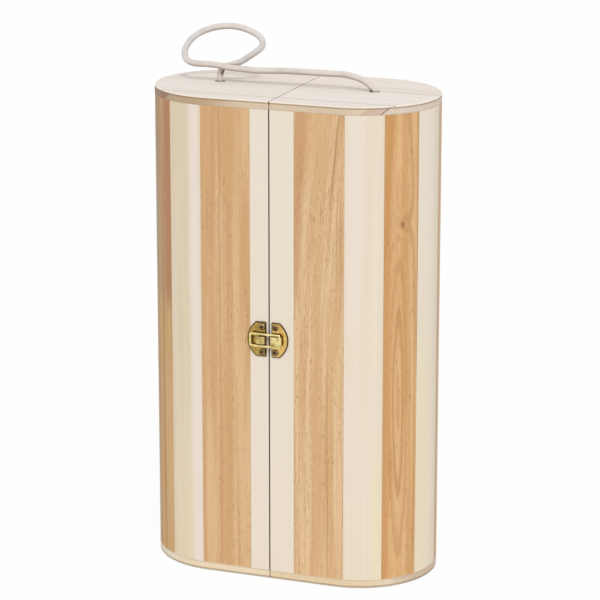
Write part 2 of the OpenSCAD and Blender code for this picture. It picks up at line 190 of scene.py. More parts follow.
class Graph:
    """The nodes of a material or of the world, and short ways to add to them."""

    def __init__(self, owner: Union[Material, bpy.types.World]) -> None:
        """Empties the owner's nodes.

        Args:
            owner: The material or world.
        """
        owner.use_nodes = True
        self.owner = owner
        self.tree = owner.node_tree
        self.tree.nodes.clear()

    @classmethod
    def of_material(cls, name: str) -> Graph:
        """Starts a new material."""
        return cls(bpy.data.materials.new(name))

    @staticmethod
    def _socket(sockets: Any, key: Union[int, str]) -> bpy.types.NodeSocket:
        """Finds a socket by its index, its identifier or its name.

        Args:
            sockets: A node's inputs or outputs.
            key: What it is found by.

        Returns:
            The socket.
        """
        if isinstance(key, int):
            return sockets[key]
        return next((s for s in sockets if s.identifier == key), None) or sockets[key]

    def add(
        self,
        kind: str,
        settings: Optional[Mapping[str, Any]] = None,
        inputs: Optional[Inputs] = None,
    ) -> bpy.types.Node:
        """Adds any node.

        Args:
            kind: The node's type.
            settings: Its own settings, set first.
            inputs: A value, a colour, an output or a signal for each of its inputs.

        Returns:
            The node.
        """
        node = self.tree.nodes.new(kind)
        for name, value in (settings or {}).items():
            setattr(node, name, value)
        for key, value in (inputs or {}).items():
            socket = self._socket(node.inputs, key)
            if isinstance(value, Signal):
                value = value.socket
            if isinstance(value, bpy.types.NodeSocket):
                self.tree.links.new(value, socket)
            elif socket.type == "RGBA" and len(value) == 3:
                socket.default_value = (*value, 1.0)
            else:
                socket.default_value = value
        return node

    def signal(
        self,
        kind: str,
        output: Union[int, str],
        inputs: Optional[Inputs] = None,
        **settings: Any,
    ) -> Signal:
        """Adds a node and gives one output of it."""
        return Signal(self, self._socket(self.add(kind, settings, inputs).outputs, output))

    def math(self, operation: str, *values: Value) -> Signal:
        """A Math node on one or two values."""
        return self.signal("ShaderNodeMath", 0, dict(enumerate(values)), operation=operation)

    def attribute(self, name: str) -> Signal:
        """A vector that the mesh holds for each point."""
        return self.signal("ShaderNodeAttribute", "Vector", attribute_name=name)

    def split(self, vector: Signal) -> tuple[Signal, Signal, Signal]:
        """The three numbers of a vector."""
        x, y, z = self.add("ShaderNodeSeparateXYZ", {}, {0: vector}).outputs
        return Signal(self, x), Signal(self, y), Signal(self, z)

    def join(self, x: Value, y: Value, z: Value) -> Signal:
        """A vector of three numbers."""
        return self.signal("ShaderNodeCombineXYZ", 0, {0: x, 1: y, 2: z})

    def noise(
        self, vector: Signal, scale: float, detail: float = 2.0, rough: float = 0.5
    ) -> Signal:
        """Smooth noise about one half, with scale blots to a unit of length."""
        inputs = {"Vector": vector, "Scale": scale, "Detail": detail, "Roughness": rough}
        return self.signal("ShaderNodeTexNoise", 0, inputs)

    def chance(self, value: Signal) -> Signal:
        """A random number from 0 to 1 for each value."""
        return self.signal("ShaderNodeTexWhiteNoise", "Value", {"W": value}, noise_dimensions="1D")

    def corners(self, reach: float) -> Signal:
        """How shut in a point is by what lies within reach, from 0 to 1."""
        return 1 - self.signal("ShaderNodeAmbientOcclusion", "AO", {"Distance": reach}, samples=8)

    def blend(
        self,
        factor: Value,
        first: Union[Signal, RGB],
        second: Union[Signal, RGB],
        mode: str = "MIX",
    ) -> Signal:
        """Mixes two colours.

        Args:
            factor: Share of the second.
            first: Colour at 0.
            second: Colour at 1.
            mode: Blend type.

        Returns:
            The mixed colour.
        """
        inputs = {"Factor_Float": factor, "A_Color": first, "B_Color": second}
        settings = {"data_type": "RGBA", "blend_type": mode, "clamp_factor": True}
        return self.signal("ShaderNodeMix", "Result_Color", inputs, **settings)

    def bump(self, height: Signal, strength: float, depth: float) -> Signal:
        """The normal of a relief, whose height of 1 stands depth above 0."""
        inputs = {"Strength": strength, "Distance": depth, "Height": height}
        return self.signal("ShaderNodeBump", 0, inputs)

    def surface(self, **inputs: Any) -> Material:
        """Ends the material in a Principled shader.

        Args:
            inputs: Its inputs by name, with _ for a space.

        Returns:
            The material.
        """
        named = {name.replace("_", " "): value for name, value in inputs.items()}
        shader = self.add("ShaderNodeBsdfPrincipled", {}, named)
        self.add("ShaderNodeOutputMaterial", {}, {"Surface": shader.outputs[0]})
        return self.owner


class Grain(NamedTuple):
    """A point of a board: millimetres from its middle, below its face and along its grain."""

    g: Graph
    across: Signal
    deep: Signal
    along: Signal


@dataclass(frozen=True)
class Mark:
    """A line or band of another colour on a board."""

    tint: RGB
    depth: float
    width: float

    def mask(self, at: Grain) -> Signal:
        """Where the mark lies, from 0 to 1."""
        raise NotImplementedError


@dataclass(frozen=True)
class Streak(Mark):
    """A streak on the board's face, with its start and its end across and along the board."""

    across: Pair
    along: Pair = (-20.0, 370.0)
    wave: float = 1.0
    fade: float = 14.0
    deepest: float = 0.0

    def mask(self, at: Grain) -> Signal:
        """Where the streak lies.

        Args:
            at: A point of the board.

        Returns:
            From 0 to 1.
        """
        g, across, deep, along = at
        (first, last), (start, end) = self.across, self.along
        drift = g.noise(g.join(first, last, along), 0.03, 2.0) - 0.5
        line = across - (along - start) * ((last - first) / (end - start)) - first
        line = line + drift * (2 * self.wave)
        there = abs(line).rise(self.width, self.width * 0.25) * along.within(start, end, self.fade)
        return there * deep.rise(self.deepest, self.deepest / 2) if self.deepest else there


@dataclass(frozen=True)
class RimBand(Mark):
    """A slanted band on the rim of an end board, at a distance from the seam at its top."""

    start: float = 0.0
    slope: float = -1.15
    soft: float = 0.35

    def mask(self, at: Grain) -> Signal:
        """Where the band lies.

        Args:
            at: A point of the board.

        Returns:
            From 0 to 1.
        """
        g, _, deep, along = at
        ragged = g.noise(g.join(along, deep, 0.0), 0.9, 2.0) - 0.5
        line = along - deep * self.slope - self.start + ragged * 0.9
        soft = min(self.soft, self.width / 2)
        return line.within(0.0, self.width, soft) * deep.rise(0.4, 0.9)


@dataclass(frozen=True)
class Knot(Mark):
    """A small knot, round which the rings bend."""

    across: float = 0.0
    along: float = 0.0

    def away(self, at: Grain) -> Signal:
        """Measures how far a point is from the knot.

        Args:
            at: A point of the board.

        Returns:
            The distance, in the knot's own sizes.
        """
        x = (at.across - self.across) / self.width
        z = (at.along - self.along) / (self.width * 1.25)
        return (x * x + z * z).root()

    def mask(self, at: Grain) -> Signal:
        """Where the knot lies.

        Args:
            at: A point of the board.

        Returns:
            From 0 to 1.
        """
        ragged = at.g.noise(at.g.join(*at[1:]), 0.8, 3.0) - 0.5
        return (self.away(at) + ragged * 1.3).rise(1.15, 0.3)


@dataclass(frozen=True)
class Cut:
    """How a board was cut from the log.

    The heart is the middle of the growth rings, across the board and behind its face. It
    drifts by lean for each millimetre along the grain, which draws arches on the face. Above
    bend_from the grain curves towards one side by bend.
    """

    seed: float
    heart: Pair = (60.0, 25.0)
    lean: Pair = (0.0, 0.0)
    pitch: float = 2.6
    wander: float = 3.0
    bend: float = 0.0
    bend_from: float = 130.0
    blush: float = 1.0
    rings: float = 1.0
    coarse: float = 1.0
    tint: RGB = WHITE
    marks: tuple[Mark, ...] = ()

    def tinted(self, colour: RGB) -> RGB:
        """A colour of the finish as this board has it."""
        red, green, blue = (c * t for c, t in zip(colour, self.tint))
        return red, green, blue


@dataclass(frozen=True)
class WoodFinish:
    """Sanded bare wood, drawn as growth rings, fibres, flecks and pores inside each board."""

    early: RGB
    late: RGB
    warm: RGB
    pore: RGB
    ring_depth: float
    fibre_depth: float
    fleck_depth: float
    pore_depth: float
    tone_depth: float
    # Painted shade in the joints: its colour, its share and how far the occlusion reaches
    dirt: RGB = (0.07, 0.045, 0.028)
    dirt_depth: float = 0.95
    dirt_reach: float = 2.2 * MM
    roughness: float = 0.6

    def material(self, name: str, cut: Cut) -> Material:
        """Makes the wood of one board.

        Args:
            name: The material's name.
            cut: How the board was cut.

        Returns:
            The material.
        """
        g = Graph.of_material(name)
        at = Grain(g, *(axis * (1 / MM) for axis in g.split(g.attribute(GRAIN))))
        straight = at
        if cut.bend:
            above = (at.along - cut.bend_from).higher(0.0)
            straight = at._replace(across=at.across - above * above * cut.bend)
        late, pores, fibre, fleck, tone = self._figure(straight, cut)

        early, dark, warm = (cut.tinted(c) for c in (self.early, self.late, self.warm))
        colour = g.blend(tone * (self.tone_depth * cut.blush), early, warm)
        colour = g.blend(late * (self.ring_depth * cut.rings), colour, dark)
        colour = g.blend(fibre.rise(0.45, 0.8) * (self.fibre_depth * cut.coarse), colour, dark)
        colour = g.blend(fleck * (self.fleck_depth * cut.coarse), colour, dark)
        for mark in cut.marks:
            colour = g.blend(mark.mask(at) * mark.depth, colour, mark.tint)
        colour = g.blend(pores * (self.pore_depth * cut.coarse), colour, self.pore)
        colour = self._edges(at, colour)
        # Painted shade in joints and crevices, only where a joint opens to the outside
        dirt = g.corners(self.dirt_reach).rise(0.36, 0.66) * at.deep.rise(3.0, 1.7)
        colour = g.blend(dirt * self.dirt_depth, colour, self.dirt)
        relief = fibre * 0.4 + late * 0.3 - pores * 0.7
        return g.surface(
            Base_Color=colour,
            Roughness=self.roughness + fibre * 0.12 - late * 0.08,
            Specular_IOR_Level=0.3,
            Normal=g.bump(relief, 0.5, 0.05 * MM),
        )

    @staticmethod
    def _figure(at: Grain, cut: Cut) -> tuple[Signal, ...]:
        """Draws the wood's figure.

        Args:
            at: A point of the board, its grain straightened.
            cut: How the board was cut.

        Returns:
            The late wood of the rings, the pores, the fibres, the flecks and the broad tone.
        """
        g, across, deep, along = at
        seed = cut.seed * 17.3
        sway = g.noise(g.join(across + seed, deep, along * 0.08), 0.04, 2.0) - 0.5
        ripple = g.noise(g.join(across + seed, deep, along * 0.06), 0.3, 2.0) - 0.5
        ring_x = across + sway * (2 * cut.wander) + ripple * 1.1
        ring_x = ring_x - (along * cut.lean[0] + cut.heart[0])
        ring_y = deep - (along * cut.lean[1] + cut.heart[1])
        radius = (ring_x * ring_x + ring_y * ring_y).root()
        for mark in cut.marks:
            if isinstance(mark, Knot):
                away = mark.away(at)
                radius = radius + (1 / (away * away * 0.12 + 1)) * (mark.width * 3.4)
        uneven = g.noise(g.join(radius, seed, 0.0), 0.16, 2.0) - 0.5
        count = (radius + uneven * 9.0) / cut.pitch + seed
        ring = count.part()
        force = g.chance(count.whole()) * 0.8 + 0.2
        late = ring.rise(0.15, 0.85) * ring.rise(1.0, 0.88) * force

        fibre = g.noise(g.join(across + seed, deep, along * 0.02), 0.9, 3.0, 0.65)
        fleck = g.noise(g.join(across - seed, deep, along * 0.1), 1.25, 2.0).rise(0.5, 0.74)
        crowd = g.noise(g.join(across + seed, deep, along * 0.1), 0.14, 1.0).rise(0.4, 0.65)
        dash = g.noise(g.join(across, deep + seed, along * 0.11), 2.1, 1.0)
        pores = dash.rise(0.6, 0.69) * (crowd * 0.7 + 0.3)
        tone = g.noise(g.join(across + seed * 2, deep, along * 0.035), 0.15, 2.0)
        return late, pores, fibre, fleck, tone.rise(0.35, 0.65)

    def _edges(self, at: Grain, colour: Signal) -> Signal:
        """Colours a board's edges, which staves leave as they are."""
        return colour


@dataclass(frozen=True)
class BoardFinish(WoodFinish):
    """The wood of an end board: its rim is tanned, its arris pale as a painted highlight with
    rubbing, and a shadow line is painted below the arris.
    """

    rim: RGB = (0.84, 0.73, 0.58)
    end_grain: RGB = (0.84, 0.77, 0.70)
    # A painted highlight with rubbing on the arris, and the painted shadow line below it
    arris: RGB = (0.90, 0.81, 0.70)
    line: RGB = (0.27, 0.175, 0.105)

    def _edges(self, at: Grain, colour: Signal) -> Signal:
        """Colours the rim, paints a highlight on the arris and a shadow line below it.

        Args:
            at: A point of the board.
            colour: The wood's colour.

        Returns:
            The colour with its edges.
        """
        g, deep = at.g, at.deep
        facing = g.split(g.signal("ShaderNodeTexCoord", "Normal"))
        side = abs(facing[2]).rise(0.6, 0.3)
        edge = g.blend(abs(facing[0]).rise(0.2, 0.8), self.rim, self.end_grain)
        colour = g.blend(side, colour, edge, "MULTIPLY")
        shadow = deep.rise(0.8, 1.05) * deep.rise(2.1, 1.4) + deep.rise(5.0, 5.7) * 0.45
        colour = g.blend(shadow * side * 0.7, colour, self.line)
        # A painted highlight, with rubbing, on the rounded edges
        worn = g.split(g.attribute(SHEEN_AND_WEAR))[0]
        return g.blend(worn.rise(0.2, 0.7) * 0.7, colour, self.arris)


@dataclass(frozen=True)
class BrassFinish:
    """Lacquered brass sheet: a painted highlight with rubbing on its edges, and painted shade
    with patina, brown, in its corners and at its foot.
    """

    flat: RGB = (0.74, 0.50, 0.16)
    cloud: RGB = (0.62, 0.37, 0.10)
    worn: RGB = (0.98, 0.86, 0.42)
    grime: RGB = (0.055, 0.030, 0.007)
    wear: float = 0.85
    reach: float = 2.1 * MM
    # Height above the wood below which shade is painted at the brass's foot, and the wood's
    # distance from the box's middle
    foot: float = 0.4 * MM
    wood: float = 55 * MM
    roughness: float = 0.2

    def material(self, name: str) -> Material:
        """Makes the brass.

        Args:
            name: The material's name.

        Returns:
            The material.
        """
        g = Graph.of_material(name)
        place = g.signal("ShaderNodeTexCoord", "Object")
        cloud = g.noise(place, 330.0, 3.0)
        speck = g.noise(place, 2100.0, 2.0)
        worn, slot_shade_and_grime, _ = g.split(g.attribute(SHEEN_AND_WEAR))
        # Painted shade with patina: in screw slots, in corners, and at the foot and edges of the
        # brass
        dirt = slot_shade_and_grime.rise(0.2, 0.8).higher(g.corners(self.reach).rise(0.2, 0.52))
        dirt = dirt.higher(self._edge_dirt(*g.split(place)))
        colour = g.blend(cloud.rise(0.35, 0.68), self.flat, self.cloud)
        # A painted highlight, with rubbing, on the rounded edges
        colour = g.blend(worn.rise(0.2, 0.85) * self.wear, colour, self.worn)
        colour = g.blend(dirt * 0.94, colour, self.grime)
        return g.surface(
            Base_Color=colour,
            Metallic=1.0,
            Roughness=self.roughness + cloud * 0.14 + dirt * 0.3 - worn * 0.05,
            Normal=g.bump(cloud + speck * 0.3, 0.4, 0.07 * MM),
        )

    def _edge_dirt(self, x: Signal, y: Signal, z: Signal) -> Signal:
        """Painted shade at the foot of what stands on the wood, at a point of the box."""
        return (abs(y) - self.wood).rise(self.foot * 1.25, self.foot * 0.5)


@dataclass(frozen=True)
class PlateFinish(BrassFinish):
    """The brass of a latch plate, with shade painted all round its edge."""

    middle: Pair = (-0.8 * MM, 174 * MM)
    radius: float = 14.9 * MM
    half_height: float = 12.3 * MM
    seam_side: float = 2.0 * MM
    frame: float = 0.95 * MM

    def _edge_dirt(self, x: Signal, y: Signal, z: Signal) -> Signal:
        """Painted shade at the plate's foot and along its edge.

        Args:
            x: Distance to the right of the seam.
            y: Distance behind the box's middle.
            z: Height.

        Returns:
            From 0 to 1.
        """
        across, up = x - self.middle[0], z - self.middle[1]
        out = (across * across + up * up).root() - self.radius
        out = out.higher(abs(up) - self.half_height).higher(self.seam_side - abs(x))
        foot = super()._edge_dirt(x, y, z)
        return out.rise(-self.frame, -self.frame * 0.55).higher(foot)


@dataclass(frozen=True)
class RopeFinish:
    """Smooth braided cord, off-white, with fine yarns."""

    pale: RGB = (0.76, 0.695, 0.64)
    shade: RGB = (0.44, 0.38, 0.325)
    dirt: RGB = (0.20, 0.145, 0.095)
    strands: int = 8
    lay: float = 5.2 * MM
    # Length along the rope at which shade is painted in the crook of its loop, or 0
    crook: float = 0.0
    crook_reach: float = 4.2 * MM
    # Lengths along the rope between which it is tinted paler and its painted underside shade
    # is weaker, and its tint there
    washed: tuple[Pair, ...] = ()
    wash: RGB = (1.0, 1.055, 1.12)
    wash_fade: float = 6 * MM

    def material(self, name: str) -> Material:
        """Makes the rope.

        Args:
            name: The material's name.

        Returns:
            The material.
        """
        g = Graph.of_material(name)
        turn, along, _ = g.split(g.attribute(CORD))
        round_it = turn * (math.tau * self.strands / 2)
        up_it = along * (math.tau * self.strands / 8 / self.lay)
        braid = abs((round_it + up_it).sine()).lower(abs((round_it - up_it).sine()))
        braid = braid.rise(0.0, 0.55)
        place = g.signal("ShaderNodeTexCoord", "Object")
        fuzz = g.noise(place, 2400.0, 2.0)
        cloud = g.noise(place, 90.0, 2.0)
        colour = g.blend(cloud.rise(0.4, 0.75) * 0.3, self.pale, self.shade)
        colour = g.blend((1 - braid) * 0.28, colour, self.shade)
        colour = g.blend(fuzz.rise(0.5, 0.8) * 0.2, colour, self.shade)
        stain = g.noise(place, 55.0, 3.0).rise(0.56, 0.72)
        colour = g.blend(stain * 0.25, colour, self.shade)
        underside_share: Value = 1.0
        for start, end in self.washed:
            there = along.within(start, end, self.wash_fade)
            colour = g.blend(there, colour, self.wash, "MULTIPLY")
            underside_share = underside_share - there * 0.85
        # Painted shade: its underside is greyer than its top
        right, _, up = g.split(g.signal("ShaderNodeTexCoord", "Normal"))
        colour = g.blend(up.rise(0.1, -0.8) * 0.8 * underside_share, colour, self.shade)
        # Painted shade where the rope lies close to itself, and in the crook of its loop
        dirt = g.corners(5 * MM).rise(0.34, 0.62)
        if self.crook:
            reach = self.crook_reach
            near = abs(along - self.crook).rise(reach * 1.4, reach * 0.6)
            dirt = dirt.higher(near * (right - up).rise(0.1, 0.7))
        colour = g.blend(dirt * 0.85, colour, self.dirt)
        return g.surface(
            Base_Color=colour,
            Roughness=0.8 + fuzz * 0.15,
            Specular_IOR_Level=0.2,
            Normal=g.bump(braid * 0.8 + fuzz * 0.2, 0.5, 0.16 * MM),
        )


LIGHT_WOOD = WoodFinish(
    early=(0.81, 0.718, 0.612),
    late=(0.69, 0.58, 0.43),
    warm=(0.75, 0.655, 0.495),
    pore=(0.60, 0.47, 0.33),
    ring_depth=0.16,
    fibre_depth=0.16,
    fleck_depth=0.12,
    pore_depth=0.08,
    tone_depth=0.45,
)
DARK_WOOD = WoodFinish(
    early=(0.72, 0.485, 0.265),
    late=(0.49, 0.265, 0.105),
    warm=(0.61, 0.35, 0.155),
    pore=(0.27, 0.13, 0.05),
    ring_depth=0.36,
    fibre_depth=0.42,
    fleck_depth=0.32,
    pore_depth=0.42,
    tone_depth=0.8,
)
BOARD_WOOD = BoardFinish(
    early=(0.84, 0.785, 0.73),
    late=(0.66, 0.555, 0.46),
    warm=(0.78, 0.69, 0.61),
    pore=(0.52, 0.40, 0.31),
    ring_depth=0.3,
    fibre_depth=0.22,
    fleck_depth=0.15,
    pore_depth=0.12,
    tone_depth=0.5,
    dirt_depth=0.7,
)
INNER_WOOD = replace(LIGHT_WOOD, early=(0.76, 0.66, 0.53), late=(0.60, 0.46, 0.32), ring_depth=0.35)
# The brasses are copies of one, lighter or darker by piece as painted light and shade:
# the catch plate darker, the ring and its roll brighter
CATCH_BRASS = PlateFinish(flat=(0.50, 0.335, 0.09), cloud=(0.29, 0.175, 0.045))
PLATE_BRASS = PlateFinish(flat=(0.80, 0.565, 0.20), cloud=(0.70, 0.43, 0.12))
WORN_AND_LIT_BRASS = BrassFinish(flat=(0.86, 0.72, 0.33), cloud=(0.50, 0.36, 0.12))
HOOK_BRASS = BrassFinish(flat=(0.66, 0.53, 0.22), cloud=(0.40, 0.29, 0.09))
SCREW_BRASS = BrassFinish(
    flat=(0.17, 0.11, 0.045), cloud=(0.10, 0.055, 0.02), worn=(0.52, 0.40, 0.19), wear=0.45
)
HINGE_BRASS = BrassFinish(flat=(0.66, 0.46, 0.15), cloud=(0.42, 0.26, 0.07))
REDDISH: RGB = (0.54, 0.27, 0.135)
ORANGE: RGB = (0.58, 0.29, 0.10)
UMBER: RGB = (0.22, 0.105, 0.045)
JOINT: RGB = (0.24, 0.17, 0.12)
PINKISH: RGB = (0.82, 0.73, 0.67)
GREENISH: RGB = (0.68, 0.62, 0.45)
# Painted shade on the staves where the box turns away at the left
LEFT_SILHOUETTE_SHADE: RGB = (0.34, 0.26, 0.18)
YELLOWISH: RGB = (0.80, 0.69, 0.46)
# Painted shade on the stave where the box turns away at the right
RIGHT_SILHOUETTE_SHADE: RGB = (0.50, 0.40, 0.31)
SEAM_SHADE_TINT: RGB = (0.08, 0.052, 0.034)


def seam_dirt(across: float) -> Streak:
    """Painted shade along the seam, near the outer face."""
    return Streak(SEAM_SHADE_TINT, 0.6, 0.4, (across, across), (-40.0, 380.0), 0.0, deepest=1.4)


# The staves that the front shows best. Across is counted away from the seam.
FRONT_CUTS: Mapping[tuple[Half, int], Cut] = {
    (Half.LEFT, 1): Cut(6.1, blush=0.3, marks=(seam_dirt(-6.85),)),
    (Half.RIGHT, 1): Cut(6.7, blush=0.3, marks=(seam_dirt(-8.85),)),
    (Half.LEFT, 3): Cut(
        8.3,
        blush=1.6,
        tint=(0.94, 0.895, 0.805),
        marks=(
            Streak(PINKISH, 0.75, 6.5, (-9.5, -8.0)),
            Streak(GREENISH, 0.5, 3.0, (1.5, 0.5), (100.0, 370.0), fade=60.0),
            Streak(YELLOWISH, 0.4, 13.0, (2.0, 2.0), (-90.0, 90.0), fade=60.0),
        ),
    ),
    (Half.RIGHT, 3): Cut(
        9.9,
        blush=0.8,
        tint=(0.98, 0.97, 0.93),
        marks=(
            Streak(PINKISH, 0.5, 7.0, (-7.0, -5.0), (190.0, 370.0)),
            Streak(YELLOWISH, 0.6, 5.0, (11.0, 9.0), (-60.0, 90.0), fade=40.0),
        ),
    ),
    # Painted shade, a grey streak, where the box turns away at the left
    (Half.LEFT, 5): Cut(12.2, marks=(Streak(LEFT_SILHOUETTE_SHADE, 0.5, 5.0, (-13.6, -13.6)),)),
    (Half.RIGHT, 5): Cut(
        10.6,
        blush=0.6,
        marks=(
            Streak(GREENISH, 0.5, 6.0, (9.0, 9.0)),
            Streak(YELLOWISH, 0.55, 13.0, (-7.0, -7.0), (-90.0, 180.0), fade=70.0),
        ),
    ),
    # Painted shade, a greyish streak, where the box turns away at the right
    (Half.RIGHT, 6): Cut(13.4, marks=(Streak(RIGHT_SILHOUETTE_SHADE, 0.7, 9.0, (-13.0, -13.0)),)),
    (Half.LEFT, 2): Cut(
        1.7,
        heart=(64.0, 18.0),
        pitch=3.1,
        rings=0.6,
        marks=(
            Streak(REDDISH, 0.55, 1.5, (4.0, 4.6), (-20.0, 360.0)),
            Streak(REDDISH, 0.25, 5.0, (12.0, 10.0), (120.0, 360.0)),
            Streak(REDDISH, 0.30, 1.2, (-9.5, -7.0), (-20.0, 150.0)),
        ),
    ),
    (Half.RIGHT, 2): Cut(
        2.3,
        heart=(-90.0, 22.0),
        pitch=2.4,
        rings=0.8,
        coarse=1.35,
        tint=(1.07, 1.12, 1.20),
        bend=0.00033,
        marks=(
            Streak(REDDISH, 0.55, 6.5, (-18.5, -13.0), (200.0, 350.0)),
            Streak(UMBER, 0.50, 0.75, (8.2, 14.4), (272.0, 334.0), wave=0.5),
            Streak(UMBER, 0.35, 0.6, (12.6, 13.8), (236.0, 290.0)),
            Streak(UMBER, 0.3, 0.5, (15.8, 15.2), (225.0, 280.0)),
            Streak(UMBER, 0.30, 0.7, (7.0, 6.0), (-20.0, 150.0)),
            Streak(REDDISH, 0.3, 2.0, (15.5, 17.0), (190.0, 360.0)),
        ),
    ),
    (Half.RIGHT, 4): Cut(
        3.1,
        heart=(-1.5, 8.0),
        lean=(0.0, -0.06),
        pitch=3.4,
        wander=3.5,
        rings=2.5,
        coarse=1.2,
        tint=(1.02, 0.96, 0.86),
        marks=(
            Knot(UMBER, 0.75, 2.0, across=0.5, along=258.0),
            Streak(ORANGE, 0.8, 5.5, (-13.0, -11.5)),
            Streak(UMBER, 0.55, 0.5, (13.4, 13.4), (150.0, 300.0), wave=0.1),
        ),
    ),
    (Half.LEFT, 4): Cut(
        4.4,
        heart=(60.0, 22.0),
        pitch=2.6,
        blush=1.3,
        tint=(0.93, 0.92, 0.85),
        marks=(
            Streak(REDDISH, 0.95, 11.0, (-11.5, -11.0), (190.0, 370.0)),
            Streak(UMBER, 0.25, 11.0, (-11.5, -11.0), (190.0, 370.0)),
            Streak(UMBER, 0.35, 1.0, (-2.5, -1.5), (40.0, 330.0)),
            # Painted shade: grey streaks on the side that turns away at the left
            Streak(LEFT_SILHOUETTE_SHADE, 0.35, 9.0, (11.5, 10.5)),
            Streak(LEFT_SILHOUETTE_SHADE, 0.45, 16.0, (9.0, 9.0), (190.0, 370.0)),
        ),
    ),
}
# Bands on the rims that the front shows, by node
RIM_BANDS: Mapping[str, tuple[Mark, ...]] = {
    "right_top_front": (
        RimBand((0.66, 0.51, 0.48), 0.55, 12.4, start=70.2),
        RimBand((0.28, 0.17, 0.10), 0.8, 1.3, start=82.3),
    ),
    "left_top_front": (
        RimBand((0.46, 0.32, 0.20), 0.6, 84.0, start=-114.0, soft=16.0),
        RimBand((0.34, 0.205, 0.125), 0.8, 30.0, start=-104.0, soft=2.0),
    ),
    "left_top_middle": (RimBand((0.34, 0.205, 0.125), 0.8, 80.0, start=-140.0),),
    "right_bottom_middle": (RimBand((0.60, 0.47, 0.37), 0.6, 60.0, start=92.0, soft=8.0),),
}


def new_piece(
    name: str,
    points: Sequence[Sequence[float]],
    faces: Sequence[Sequence[int]],
    vectors: Mapping[str, Sequence[Sequence[float]]],
    even_normals: bool = False,
) -> Piece:
    """Makes a smooth mesh object.

    Args:
        name: The piece's name.
        points: Its vertices.
        faces: Its faces.
        vectors: Vectors for each vertex, by attribute name.
        even_normals: True where large flat faces meet rounded edges.

    Returns:
        The new object, linked to the scene.
    """
    mesh = bpy.data.meshes.new(name)
    mesh.from_pydata([tuple(p) for p in points], [], [tuple(f) for f in faces])
    mesh.update()
    for key, values in vectors.items():
        layer = mesh.attributes.new(key, "FLOAT_VECTOR", "POINT")
        layer.data.foreach_set("vector", [c for v in values for c in v])
    mesh.shade_smooth()
    piece = bpy.data.objects.new(name, mesh)
    bpy.context.scene.collection.objects.link(piece)
    if even_normals:
        piece.modifiers.new("even_normals", "WEIGHTED_NORMAL").weight = 100
    return piece


def finish_piece(piece: Piece, material: Material, body: str, node: str, slot: Slot) -> Piece:
    """Dresses a piece, sets it on its body and hides the CAD node that it stands for.

    Args:
        piece: The piece.
        material: Its material.
        body: The body that it rides on.
        node: The CAD node that it stands for.
        slot: A material slot. Not used.

    Returns:
        The piece.
    """
    piece.data.materials.append(material)
    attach(piece, body)
    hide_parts(node)
    log.info("%s: %d points on %s", piece.name, len(piece.data.vertices), body)
    return piece


def skin(rings: int, sides: int, closed: bool = False) -> Faces:
    """Makes the faces between rings of points that follow one another.

    Args:
        rings: How many rings there are.
        sides: How many points each has.
        closed: True where the last ring meets the first, instead of a cap on each.

    Returns:
        The faces.
    """
    faces: Faces = []
    if not closed:
        faces += [tuple(reversed(range(sides))), tuple(range((rings - 1) * sides, rings * sides))]
    for k in range(rings if closed else rings - 1):
        for i in range(sides):
            j, on = (i + 1) % sides, (k + 1) % rings
            faces.append((k * sides + i, k * sides + j, on * sides + j, on * sides + i))
    return faces


